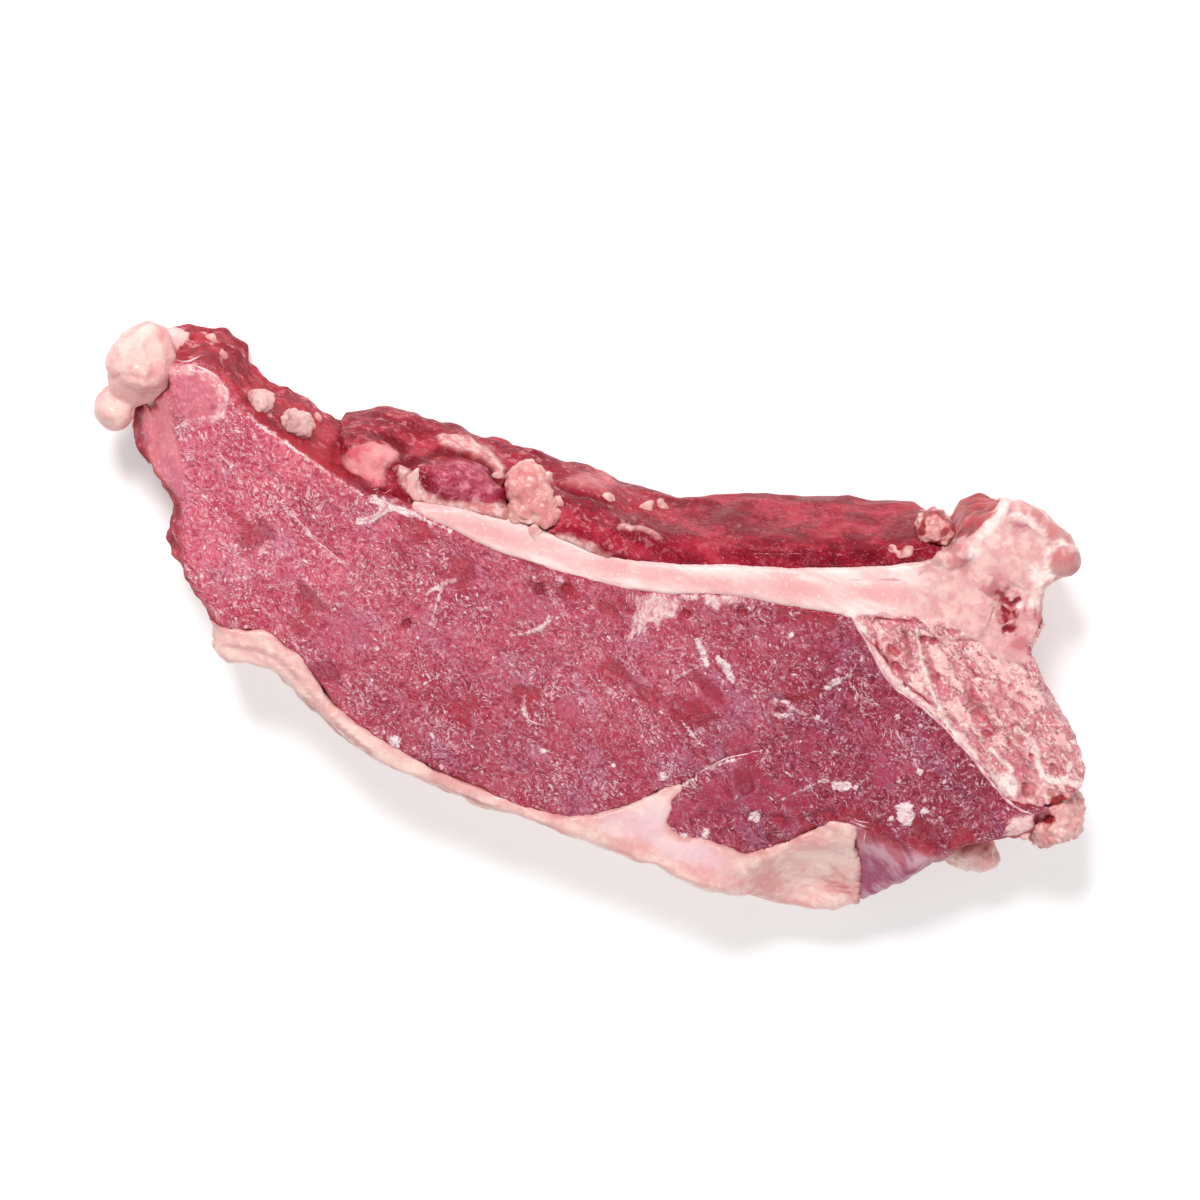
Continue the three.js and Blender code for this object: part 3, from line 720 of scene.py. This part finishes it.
stain = spots(flat, NERVE_STAIN, 0.3 + 0.8 * torn + 0.5 * ripple(co, 0.9, 28))
flush = spots(flat, FLUSH, 0.2 + 0.7 * torn + 0.5 * ripple(co, 0.9, 29))
red = ease(-0.3, 0.4, inside(flat, RED_SIDE) + 0.6 * torn + 1.2 * ripple(co, 6, 26) * (1 - face))
lump_red = 0.5 * ease(-0.2, 0.8, inside(flat, RED_LUMP) + 0.5 * torn)
red = highest(red, lump_red, spots(flat, RAW_PLACES, 0.5 * torn)) * (1 - edge)
mass = ease(-0.6, 1.6, inside(flat, GRISTLE_MASS))
grains = ease(-0.8, 1.2, inside(flat, GRAINS))
lump = ease(-0.5, 2.0, inside(flat, RED_LUMP))
seeds = cells(co, 1.8)
sculpt(bone, MM * (
    0.12 + 0.45 * touch(bone, "bone")
    + sponge * (0.45 * (crumb - 0.6) + 0.4 * fibres + 0.5 * bands - SPONGE_DEPTH * hollow)
    + gristle * (
        1.2 * ripple(co, 10, 2) + 0.8 * ripple(co, 4.6, 3) + 0.3 * ripple(co, 1.7, 8))
    + 0.4 * ripple(co, 6, 6) * (1 - face)
    + 0.12 * ripple(co * (0.3, 1, 1), 1.6, 14) * (1 - red)
    + 0.45 * edge * (1 + 0.6 * torn)
    + 1.2 * mass + 1.1 * lump - 0.5 * red * (1 - lump)
    + (mass + grains) * (0.6 * (seeds - 0.6) + 0.6 * ripple(co, 2.6, 44))
))
co, normal = points_of(bone)
choked = np.linalg.norm(flat - NERVE_MIDDLE, axis=1)
level = (choked > NERVE_FILL) & (choked < NERVE_FILL + 2) & (face > 0.9) & (co[:, 2] > UPPER_FACE)
top = np.percentile(co[level, 2], 40)
shreds = 0.5 * ripple(co * (1, 1, 0), 1.8, 61) + 0.3 * ripple(co * (1, 1, 0), 0.9, 62)
fill = top - MM * (0.3 + 0.8 * hole + shreds)
lifted = (choked < NERVE_FILL) & (co[:, 2] > NERVE_FLOOR) & (co[:, 2] < fill)
co[lifted, 2] = fill[lifted]
bone.data.vertices.foreach_set("co", co.ravel())
bone.data.update()
away = line_distance(flat, PLATE_MIDDLE) + 0.5 * ripple(drawn_out(co, math.radians(12), 5.0), 1.6, 71)
pith = (1 - ease(0.6, 2.8, away)) * face * ease(62, 52, flat[:, 0])
raw = highest(0.95 * red, 0.55 * stain, 0.42 * flush, 0.6 * sponge * hollow, 0.5 * grains * (1 - seeds))
paint(bone, sponge=sponge, crack=sponge * (1 - ease(0.02, 0.3, crumb)), edge=edge, pith=pith, blood=raw,
      hole=hole, lilac=lilac, gristle=gristle)

# Streaks drawn out along a tissue, used by bone, fat and the thin skins
tree, given, result = new_group("fibre_streaks", {"Vector": None, "Scale": 200.0}, ("Streaks",))
warped = stirred(tree, given["Vector"], given["Vector"], 45, 0.006)
drawn = shader(tree, "Mapping", {"Vector": warped, "Rotation": (0.0, 0.0, -0.3), "Scale": (0.16, 1.0, 0.6)})
feed(tree, result, Streaks=cloud(tree, drawn.outputs[0], given["Scale"], 4, 0.6))
fibre_streaks = tree


def streaks_on(tree, at, scale):
    """Streaks along the slice in a material, with scale of them to the metre."""
    return placed(tree, fibre_streaks, Vector=at, Scale=scale)["Streaks"]


sawn_bone, tree, surface, at = new_material(
    "sawn_bone", coat_roughness=0.18, specular_ior_level=0.25, subsurface_weight=0.12,
    subsurface_scale=0.002, subsurface_radius=(1, 0.45, 0.35))
sponge, crack, edge, pith, blood, hole, lilac, gristle = painted(
    tree, "sponge", "crack", "edge", "pith", "blood", "hole", "lilac", "gristle")
lines = streaks_on(tree, at, 330)
blush = cloud(tree, at, 95, 4, 0.6)
speckle = cloud(tree, at, 900, 3, 0.6)
grit = cloud(tree, at, 380, 3, 0.65)
lace = cloud(tree, in_grain(tree, at, SPONGE_TURN, (2.6, 1, 1.4)), 400, 3, 0.62)
thread = between(tree, maths(tree, "ABSOLUTE", off_middle(tree, lace)), 0, 0.024, 1, 0)
thread = times(tree, thread, between(tree, grit, 0.36, 0.5))
# The knob's cartilage, with a painted highlight of pale cream where the blush noise is low
cartilage = layered(
    tree, "e6b6b0", ("d89898", grit, 0.4, 0.62, 1), ("d28890", blush, 0.45, 0.61, 0.66),
    ("b06c84", lilac, 0.65), ("f8e2dc", blush, 0.41, 0.3, 0.36))
hard = layered(
    tree, "f5dad6", ("edc0be", lines, 0.42, 0.6, 1), ("eaaaa8", blush, 0.5, 0.7, 0.5),
    ("e6a4a4", pith, between(tree, blush, 0.32, 0.56, 0.35, 0.8)), ("fdeeea", speckle, 0.54, 0.72, 0.4),
    (cartilage, gristle, 0.85))
# The sponge's marrow, with pale specks that are partly its white bone and partly painted highlights
marrow = layered(
    tree, "d27684", ("f0bcba", lace, 0.38, 0.6, 1), ("f8dcd6", speckle, 0.51, 0.63, 0.8),
    ("c4606e", blush, 0.46, 0.32, 0.6), ("a44a58", crack, 0.5), ("963e50", thread, 0.65))
raw_red = layered(tree, "8a0818", ("b81e2a", grit, 0.4, 0.6, 1))
ivory = layered(tree, "fbeae4", ("f0ccc8", grit, 0.4, 0.6, 1))
flesh = layered(tree, hard, (marrow, sponge), (raw_red, blood), (ivory, edge, 0.85), ("94142a", hole, 0.95))
relief = maths(tree, "SUBTRACT", weighed(tree, (lines, 0.6), (speckle, 0.7)), times(tree, thread, sponge))
relief = plus(tree, relief, times(tree, plus(tree, lace, grit), sponge))
feed(tree, surface, Base_Color=flesh, Roughness=between(tree, lines, 0.3, 0.7, 0.3, 0.48),
     Coat_Weight=between(tree, blood, 0.2, 0.9, 0.12, 0))
emboss(tree, surface, relief, between(tree, blood, 0, 1, 0.6, 0.2))
bone.data.materials.append(sawn_bone)


# The fat: a firm cream cap under the skin side, trimmed with a knife, and soft knobs of it at the
# tail, at the backbone's corner and on the cavity side. The cut edge is ridged, the skin creased.
FAT_VOXEL = 0.7 * MM
LUMP_VOXEL = 0.45 * MM
LILAC_FAT = [
    (10, -42), (12, -39), (18.8, -33.1), (26, -25), (26, -34), (26, -38.4), (34, -36), (40, -38), (40, -42),
    (28, -43), (19.7, -41.5),
]
LOOSE_FLAP = [(36, -36), (50, -30), (63.5, -18.5), (71, -28), (77, -37), (70, -48), (40, -48)]

soft_fat, tree, surface, at = new_material(
    "soft_fat", coat_weight=0.2, coat_roughness=0.2, specular_ior_level=0.4, subsurface_weight=0.2,
    subsurface_scale=0.002, subsurface_radius=(1, 0.5, 0.35))
blood, dull, lilac = painted(tree, "blood", "dull", "lilac")
lines = streaks_on(tree, at, 260)
mottle = cloud(tree, at, 85, 4, 0.6)
speckle = cloud(tree, at, 700, 4, 0.6)
beige = layered(tree, "c08c8c", ("dcb6b2", mottle, 0.4, 0.6, 1))
cream = layered(
    tree, "f0cec4", ("e0a4a0", mottle, 0.38, 0.62, 1), ("e09e9e", lines, 0.48, 0.64, 0.6),
    ("fcece6", speckle, 0.52, 0.72, 0.35), ("dc9c9a", speckle, 0.44, 0.3, 0.3), (beige, dull),
    ("e8c8d2", lilac, 0.6), ("c03c46", blood, 0.85), ("8e1420", blood, 0.6, 0.95, 0.85))
feed(tree, surface, Base_Color=cream, Roughness=between(tree, speckle, 0.3, 0.7, 0.3, 0.5))
emboss(tree, surface, plus(tree, times(tree, lines, 0.7), speckle), 0.5)

# On the cap a beige line where two layers meet, partly the seam's own colour and partly a painted shadow
# under the fold, and a bruise on its flap
LAYER_SHADOW_LINE = [
    (1.1, [(-84, -33.8), (-77, -32.2), (-72, -32.2), (-66, -34.7), (-60, -38.2), (-54, -41.7), (-44, -45)]),
]
BRUISES = [(66, -33.9, 3.4), (50, -39, 4.4)]
RED_STROKES = [
    (0.7, [(64.2, -35.2), (69.3, -33.5)]), (0.7, [(65.1, -36.1), (70.2, -34.5)]),
    (0.6, [(64.5, -34.2), (66.4, -33.4)]),
]

fat_cap = fine_copy("fat_cap", FAT_VOXEL)
co, normal = points_of(fat_cap)
flat = on_drawing(co)
face = ease(0.4, 0.8, np.abs(normal[:, 2]))
flap = ease(-0.5, 3, inside(flat, LOOSE_FLAP)) * ease(0.3, 0.8, normal[:, 2])
close_by = touch(fat_cap, "fat_cap")
torn = ripple(co, 1.6, 33)
crease = (1 - ease(0.0, 0.13, np.abs(ripple(co * (0.3, 1, 1), 11, 37)))) * (1 - face)
sculpt(fat_cap, MM * (
    0.12 + 0.3 * close_by
    + 0.35 * ripple(co * (1, 1, 0.4), 3.2, 2) + 0.15 * ripple(co, 1.3, 11)
    + (1.5 * ripple(co * (0.4, 1, 1.2), 8, 5) + 0.4 * ripple(co * (0.5, 1, 2), 3, 6)) * (1 - face)
    + 0.9 * flap - 0.9 * crease
))
pink = ease(0.1, 0.6, ripple(co, 5, 30)) * ease(0.2, 0.9, close_by)
bruise = spots(flat, BRUISES, 0.9 * ripple(drawn_out(co, math.radians(-20), 3.0), 1.8, 36))
layer = streaks_along(flat, LAYER_SHADOW_LINE, 0.7 * torn)
stroke = streaks_along(flat, RED_STROKES, 0.5 * torn)
# Dull beige: the layer line, dull patches, and painted shade in the creases of the sides
dull = highest(0.75 * layer, 0.12 * ease(0.1, 0.5, ripple(co, 4, 35)), 0.5 * crease)
paint(fat_cap, blood=highest(0.6 * pink, 0.22 * close_by, 0.35 * bruise, 0.65 * stroke), dull=dull,
      lilac=face * ease(-1.5, 2.5, inside(flat, LILAC_FAT) + 0.9 * torn))
fat_cap.data.materials.append(soft_fat)

# The knobs, each with how red, dull and crumbly it is, and how often its mesh is smoothed. The one at
# the corner is torn open.
KNOBS = {
    "tip_fat": (0.05, 0.0, 0.0, 40), "corner_fat": (0.6, 0.0, 0.8, 10), "fat_flap": (0.2, 0.1, 0.3, 10),
    "cavity_fat_1": (0.8, 0.0, 0.65, 10), "cavity_fat_2": (1.2, 0.0, 0.6, 10),
    "cavity_fat_3": (0.15, 1.0, 0.65, 10), "cavity_fat_4": (0.15, 1.0, 0.65, 10),
}
for node, (redness, dullness, crumbly, smoothing) in KNOBS.items():
    knob = fine_copy(node, LUMP_VOXEL, smoothing)
    co, normal = points_of(knob)
    warp = 1.2 * MM * np.array([ripple(co, 4, seed) for seed in (51.0, 52.0, 53.0)]).T
    grain = cells(co + warp, 1.7)
    hollow = ease(-0.8, 0.9, inside(on_drawing(co), CORNER_HOLLOW)) * ease(-0.4, 0.1, normal[:, 2])
    crease = 1 - ease(0.0, 0.16, np.abs(ripple(co, 9, 12)))
    sculpt(knob, MM * (
        0.15 - 0.35 * crease * (1 - crumbly)
        + (0.45 + 0.6 * crumbly) * ripple(co, 5.5, 7) + (0.2 + 0.7 * crumbly) * ripple(co, 2.6, 3)
        + (0.05 + 0.5 * crumbly) * (grain - 0.7) + 0.7 * crumbly * ripple(co, 1.3, 9)
        - 1.8 * hollow
    ))
    stained = redness * ease(-0.2, 0.35, ripple(co, 2.4, 25) + 0.25 * redness - 0.1)
    # Painted shade: a red tinge in the creases of the smooth knobs
    crease_shade = 0.25 * crease * (1 - crumbly)
    raw = highest(0.75 * stained, 0.6 * redness * (1 - grain), 0.95 * hollow, crease_shade)
    paint(knob, blood=raw, dull=dullness * ease(-1.0, 0.2, ripple(co, 3, 26)))
    knob.data.materials.append(soft_fat)

# Crumbs of fat and gristle that cling along the cavity side and at the tail: x, y, radius and redness.
# Each is a clump, and the clump's crumbs have these shares of its radius.
CLUMP = (1, 0.75, 0.6, 0.5)
CRUMB_VOXEL = 0.25 * MM
CRUMBS = [
    (-58.9, 18.4, 1.3, 0.1), (-58.4, 15.6, 1.4, 0.1), (-56.8, 13.9, 1, 0.2), (-59.4, 16.9, 1, 0.1),
    (-36.4, 28.9, 1.9, 0.5), (-31.5, 28.2, 1.7, 0.6), (-27.4, 24.2, 1.7, 0.5), (-26.4, 19.6, 1.5, 0.4),
    (-36.2, 21.4, 1.5, 0.4), (-29.6, 16.6, 1.5, 0.3), (-38.6, 26, 1.4, 0.6), (-42.1, 25.2, 1.1, 0.2),
    (-8.2, 30.8, 1.7, 0.3), (-4.9, 32.4, 1.3, 0.4), (-17.2, 29.8, 1.4, 0.5), (50, 43.5, 1.5, 0.8),
    (46.6, 42.8, 1.2, 0.8), (-83.8, 22.2, 1.2, 0.4), (-112.5, 30.2, 1.4, 0.3), (-108.6, 27.6, 1.3, 0.5),
    (104.6, 1.2, 1.3, 0.4), (101.4, -7.6, 1.3, 0.1), (108.4, -6, 1.3, 0.2), (98, -7, 1, 0.1),
    (104.4, -4.4, 1, 0.1), (107.6, -4, 1, 0.1),
]


# The thin meat on the cavity side of the bone, wet and dark under its smooth skin, torn along its top
# where it was pulled away. It grows on the bone plate.
CAVITY_VOXEL = 0.7 * MM
PURPLE_LOBE = [
    (-56.8, 20.9), (-51.6, 25.4), (-44.7, 25.8), (-40.3, 22.7), (-39.5, 19), (-47.9, 16.4), (-54.1, 16.3),
]
PINK_LUMP = [(-28.1, 29.3), (-24.9, 33), (-20.2, 34.9), (-15.7, 33.5), (-17.2, 29.6), (-22.5, 29.1)]
# Pale streaks of fat, each a width and its points: along the plate, beside the lobe and further on
PALE_STREAKS = [
    (3, [(-61.9, 18), (-57, 15), (-50, 14.1), (-44.3, 16.6), (-38.2, 18.4), (-34.7, 17)]),
    (2.4, [(-56.5, 27.8), (-52.8, 28.5), (-48.9, 28.5), (-45.5, 27.7), (-42.1, 26.8)]),
    (1.6, [(-24, 17.5), (-18, 18), (-12, 17.4)]), (1.2, [(-12, 24), (-7, 25.5), (-3, 25.2)]),
]
# Dark gaps between the lumps and along the plate, each a width and its points: sunk, and painted very dark
# red as wet meat and as shade
SHADED_WET_GAPS = [
    (1.8, [(-62.5, 20.5), (-58.5, 22.5), (-56, 26), (-50, 26.8), (-44, 26.4), (-39.5, 24)]),
    (1.8, [(-39.5, 18.6), (-36, 23), (-38.5, 28.5)]), (1.2, [(-28.5, 28.4), (-22.5, 28), (-16.5, 28.4)]),
    (1.6, [(-70.5, 25), (-64, 24.2), (-62.5, 20.5)]),
]

cavity_meat = fine_copy("cavity_meat", CAVITY_VOXEL, smoothing=3)
co, normal = points_of(cavity_meat)
flat = on_drawing(co)
held = touch(cavity_meat, "cavity_meat")
torn = 0.6 * ripple(co, 2.2, 81)
lobe = ease(-0.8, 2.0, inside(flat, PURPLE_LOBE))
bulge = np.maximum(lobe, ease(-0.8, 1.8, inside(flat, PINK_LUMP) + torn))
flap = ease(-0.4, 0.8, inside(flat, PINK_FLAP) + torn)
streak = streaks_along(flat, PALE_STREAKS, 1.2 * torn)
gap = streaks_along(flat, SHADED_WET_GAPS, torn) * (1 - streak)
rough_end = ease(10, -20, flat[:, 0])  # the left end is torn, the right end lies smooth
sculpt(cavity_meat, MM * (
    0.12 + 0.3 * held
    + (1 - 0.8 * held) * (
        (0.5 + 0.9 * rough_end) * ripple(co * (0.7, 1, 0.5), 10, 3)
        + (0.3 + 0.6 * rough_end) * ripple(co * (0.8, 1, 0.5), 4.5, 5)
        + (0.15 + 0.3 * rough_end) * ripple(co * (0.7, 1, 0.6), 2, 8))
    + 0.8 * bulge + 0.4 * streak + 0.8 * flap - 0.6 * gap
))
pink = 0.5 * ease(-0.8, 1.8, inside(flat, PINK_LUMP) + torn)
paint(cavity_meat, pale=0.75 * streak, thin=np.maximum(0.85 * flap, pink), purple=lobe, gap=gap,
      smooth=1 - rough_end)

wet_membrane, tree, surface, at = new_material(
    "wet_membrane", coat_weight=0.08, coat_roughness=0.1, specular_ior_level=0.05, subsurface_weight=0.05,
    subsurface_scale=0.002, subsurface_radius=(1, 0.3, 0.25))
pale, thin, purple, gap, smooth = painted(tree, "pale", "thin", "purple", "gap", "smooth")
grain = placed(tree, meat_grain, Vector=at)
veils = streaks_on(tree, at, 210)
patches = cloud(tree, at, 120, 4, 0.65)
specks = cloud(tree, at, 520, 3, 0.6)
lobe_red = layered(tree, "a03450", ("c8667a", specks, 0.4, 0.6, 1))
film = layered(tree, "d4606c", ("eca0a0", patches, 0.4, 0.6, 1))
salmon = layered(tree, "dc8e8a", ("f0ccc8", specks, 0.36, 0.64, 1))
wet = layered(
    tree, "7c0e22", ("a01c30", veils, 0.42, 0.6, 1), ("bc3a4c", patches, 0.52, 0.66, 0.6),
    ("640818", patches, 0.46, 0.34, 0.7), ("c45060", veils, 0.56, 0.7, 0.4), (lobe_red, purple, 0.7),
    # Painted highlights: pale wet specks, more on the torn left end, and the grain's glints
    ("e2949a", between(tree, specks, 0.56, 0.64), between(tree, smooth, 0, 1, 0.4, 0.1)), (film, thin),
    ("e4a0aa", grain["Ticks"], 0.25), (salmon, pale, between(tree, patches, 0.34, 0.54, 0.6, 1)),
    # Painted shade in the gaps
    ("6c0816", gap, 0.75))
feed(tree, surface, Base_Color=wet, Roughness=between(tree, patches, 0.3, 0.7, 0.36, 0.5))
relief = plus(tree, weighed(tree, (veils, 1.2), (grain["Height"], 0.3)), specks)
emboss(tree, surface, relief, between(tree, smooth, 0, 1, 0.6, 0.3), 0.0006)
cavity_meat.data.materials.append(wet_membrane)


# The sinews: thin white strands of skin and tendon that lie on the cut, where muscles part, where the
# plate's skin is torn and along the bone's hard rim. They are pressed into the surface they grew on.
STRAND_STEP = 0.6  # millimetres from point to point
STRAND_RADIUS = 1.0 * MM
WANDER = 0.25  # millimetres that a strand strays from its line
SINK = 0.3  # share of its radius that a strand is pressed in

# Traced strands: width in millimetres, then points of the drawing
TRACED_STRANDS = [
    (0.4, [(26.5, -22), (30.8, -16.7), (33.6, -14.4), (38, -11.6)]),
    (1.1, [(-113.4, 23.4), (-108.2, 22.9), (-104.6, 20.4), (-103.6, 16.2)]),
    (0.6, [(-120.9, 23.8), (-118.2, 22.6), (-114.8, 23.7), (-113, 26.1)]),
    (0.5, [(-81.8, 0.3), (-77.5, -1.9), (-73.4, -4), (-66.7, -6)]), (0.4, LOW_CURL), (0.8, TAIL_HOOK),
    (0.4, [(40.1, 32.5), (46, 35), (52, 37.5)]),
    (0.9, [(44, 25), (50.5, 20.4), (55.8, 15.8), (60.5, 13.2), (68.6, 11.3), (74.9, 8.6), (81.2, 5.9),
        (87.1, 2.3), (92.8, -0.7), (96.4, -2.3), (100.9, -2.4)]),
]
# Fans of fine fibres: the line they start on, which way they run, how many and how long
FANS = [
    ((-4, 12.5), (6, 13.5), -80, 16, 4), ((62, -18.5), (70, -22), -30, 10, 4),
    ((50.5, 12), (56, 8), -60, 12, 3.5), ((60, 6), (68, 2), -50, 10, 3),
    ((-66, 14), (-60, 12.5), -125, 5, 3),
]
FIBRES = 220  # those of the fans and the stray ends all over the cut
LEAN_FACE = [
    (-108, 12), (-90, 14), (-66, 9), (-30, 11), (0, 9), (36, 20), (58, 8), (84, -2), (94, -12), (64, -18),
    (36, -24), (22, -28), (-10, -34), (-40, -40), (-62, -34), (-86, -20), (-104, -4),
]

draw = random.Random(7)
points = []
faces = []
for ground in (lean, bone, fat_cap, cavity_meat):
    mesh = ground.data
    corner = len(points)
    points += [v.co.copy() for v in mesh.vertices]
    faces += [[corner + i for i in f.vertices] for f in mesh.polygons]
slice_top = BVHTree.FromPolygons(points, faces)


def laid(x, y):
    """The point of the slice that shows at a point of the drawing, or None beside the slice."""
    sight = (Vector(place(x, y, CUT_HEIGHT)) - VIEWPOINT).normalized()
    return slice_top.ray_cast(VIEWPOINT, sight)[0]


def lay_strand(curve, width, line):
    """Adds one tapered strand along a line of the drawing to a curve, pressed into the slice."""
    line = np.array(line, float)
    run = np.concatenate(([0], np.cumsum(np.linalg.norm(np.diff(line, axis=0), axis=1))))
    stops = np.linspace(0, run[-1], max(4, int(run[-1] / STRAND_STEP)))
    path = np.array([np.interp(stops, run, line[:, k]) for k in (0, 1)]).T
    for _ in range(3):
        path[1:-1] = (path[:-2] + 2 * path[1:-1] + path[2:]) / 4
    seed = draw.random() * 90
    found = []
    dips = 0.9 if width < 0.6 else 0.4  # the finest ones go under in places
    for i, (x, y) in enumerate(path):
        sway = [noise.noise(Vector((x / 2.5, y / 2.5, seed + k))) * WANDER for k in (0, 5)]
        hit = laid(x + sway[0], y + sway[1])
        if hit:
            end = min(i, len(path) - 1 - i) * STRAND_STEP / (1.2 + width)
            swell = 0.8 + 0.7 * noise.noise(Vector((x / 1.7, y / 1.7, seed)))
            dip = SINK + dips * (1 + noise.noise(Vector((x / 1.3, y / 1.3, seed + 9)))) - dips
            found.append((hit, 0.5 * width * swell * min(1, 0.15 + 0.85 * end), dip))
    if len(found) < 3:
        return
    spline = curve.splines.new("POLY")
    spline.points.add(len(found) - 1)
    for point, (hit, radius, dip) in zip(spline.points, found):
        point.co = (hit.x, hit.y, hit.z - dip * radius * MM, 1)
        point.radius = radius


def strand_piece(name, curve, material):
    """A curve's strands as one meshed piece."""
    curve.dimensions = "3D"
    curve.bevel_depth = STRAND_RADIUS
    curve.bevel_resolution = 1
    curve.use_fill_caps = True
    holder = in_scene(name + "_line", curve)
    mesh = finished(holder)
    bpy.data.objects.remove(holder)
    bm = bmesh.new()
    bm.from_mesh(mesh)
    bmesh.ops.recalc_face_normals(bm, faces=bm.faces)
    write(bm, mesh).materials.clear()
    mesh.materials.append(material)
    mesh.shade_smooth()
    new_piece(name, mesh)


white_sinew, tree, surface, at = new_material(
    "white_sinew", coat_weight=0.3, coat_roughness=0.15, specular_ior_level=0.4, subsurface_weight=0.2,
    subsurface_scale=0.001, subsurface_radius=(1, 0.5, 0.45))
patches = cloud(tree, at, 300, 3, 0.6)
pearl = layered(tree, "f0d0d0", ("d690a0", patches, 0.35, 0.62, 1))
feed(tree, surface, Base_Color=pearl, Roughness=between(tree, patches, 0.3, 0.7, 0.28, 0.42))

sinews = bpy.data.curves.new("sinews", "CURVE")
for width, line in TRACED_STRANDS:
    lay_strand(sinews, width, line)
strand_piece("sinews", sinews, white_sinew)


def lay_fibre(curve, x, y, turn, reach, curl, width):
    """Adds a short fibre to a curve, from a point of the drawing, bent half way by up to about its curl."""
    bend = turn + draw.gauss(0, curl)
    middle = (x + 0.5 * reach * math.cos(turn), y + 0.5 * reach * math.sin(turn))
    far = (middle[0] + 0.5 * reach * math.cos(bend), middle[1] + 0.5 * reach * math.sin(bend))
    lay_strand(curve, draw.uniform(*width), [(x, y), middle, far])


fibres = bpy.data.curves.new("fibres", "CURVE")
for start, end, heading, count, length in FANS:
    for _ in range(count):
        t = draw.random()
        x = start[0] + t * (end[0] - start[0])
        y = start[1] + t * (end[1] - start[1]) + draw.uniform(-1.5, 0.8)
        turn = math.radians(heading + draw.gauss(0, 22))
        lay_fibre(fibres, x, y, turn, length * draw.uniform(0.4, 1.2), 0.5, (0.22, 0.5))
while len(fibres.splines) < FIBRES:
    x = draw.uniform(-110, 96)
    y = draw.uniform(-42, 24)
    if inside(np.array([(x, y)]), LEAN_FACE)[0] < 1:
        continue
    turn = GRAIN_TURN + draw.gauss(0, 0.6)
    lay_fibre(fibres, x, y, turn, draw.uniform(0.9, 2.8), 0.6, (0.2, 0.42))
strand_piece("fibres", fibres, white_sinew)

bm = bmesh.new()
middles = []
for x, y, radius, redness in CRUMBS:
    hit = laid(x, y)
    for k, share in enumerate(CLUMP if hit else ()):
        size = radius * share * MM
        shift = Vector((draw.uniform(-1, 1), draw.uniform(-1, 1), 0)) * radius * MM * min(k, 1)
        made = bmesh.ops.create_icosphere(bm, subdivisions=3, radius=size)["verts"]
        seed = Vector((draw.uniform(0, 50), draw.uniform(0, 50), draw.uniform(0, 50)))
        for v in made:
            v.co *= 1 + 0.45 * noise.noise(v.co / size + seed)
            v.co.z *= 0.45
            v.co += hit + shift
        middles.append((hit + shift, redness))
mesh = write(bm, bpy.data.meshes.new("crumbs"))
crumbs = new_piece("crumbs", mesh)
even_mesh(crumbs, CRUMB_VOXEL, smoothing=14)
crumbs.data.shade_smooth()
co, normal = points_of(crumbs)
near = np.array([np.linalg.norm(co - np.array(middle), axis=1) for middle, redness in middles])
reds = np.array([redness for middle, redness in middles])[np.argmin(near, axis=0)]
paint(crumbs, blood=reds * ease(-0.4, 0.4, ripple(co, 1.6, 3)),
      dull=0.6 * ease(-0.3, 0.5, ripple(co, 2.5, 13)))
crumbs.data.materials.append(soft_fat)


# The camera stands where the photograph's did, a little to the bone side of straight above, and
# looks at the middle of the slice with a lens long enough to fill the frame.
AIM = Vector(place(-8.0, 4.5, 26.0))
TURN = math.radians(22)  # the slice's length runs down to the right by this much
LENS = 152.0
SENSOR = 36.0

sight = (AIM - VIEWPOINT).normalized()
right = Vector((math.cos(TURN), math.sin(TURN), 0))
up = right.cross(sight).normalized()
right = sight.cross(up)
camera_data = bpy.data.cameras.new("camera")
camera_data.lens = LENS
camera_data.sensor_width = SENSOR
camera = in_scene("camera", camera_data)
camera.matrix_world = Matrix.Translation(VIEWPOINT) @ Matrix((right, up, -sight)).transposed().to_4x4()
bpy.context.scene.camera = camera

# The plain white table that the slice lies on, and soft studio light: a lamp high on the cavity side,
# a wider and weaker one across from it, and an even pale room.
TABLE_REACH = 3  # metres from its middle to each edge

bm = bmesh.new()
bmesh.ops.create_grid(bm, x_segments=1, y_segments=1, size=TABLE_REACH)
floor = in_scene("floor", write(bm, bpy.data.meshes.new("floor")))
paper = new_material("paper", base_color=(0.9, 0.9, 0.9, 1), roughness=0.8, emission_color=(1, 1, 1, 1),
                     emission_strength=0.28)[0]
floor.data.materials.append(paper)


def softbox(name, position, size, power):
    """A square soft light that shines on the middle of the slice."""
    data = bpy.data.lights.new(name, "AREA")
    data.size = size
    data.energy = power
    light = in_scene(name, data)
    light.location = position
    light.rotation_euler = (AIM - Vector(position)).to_track_quat("-Z", "Y").to_euler()


softbox("key", (-0.5, 0.7, 1.1), 0.3, 17)
softbox("fill", (0.9, -0.7, 1.0), 0.9, 7)
world = bpy.data.worlds.new("studio")
world.use_nodes = True
feed(world.node_tree, world.node_tree.nodes["Background"].inputs, Color=(1, 1, 1, 1), Strength=0.35)
bpy.context.scene.world = world
bpy.context.scene.view_settings.view_transform = "Standard"
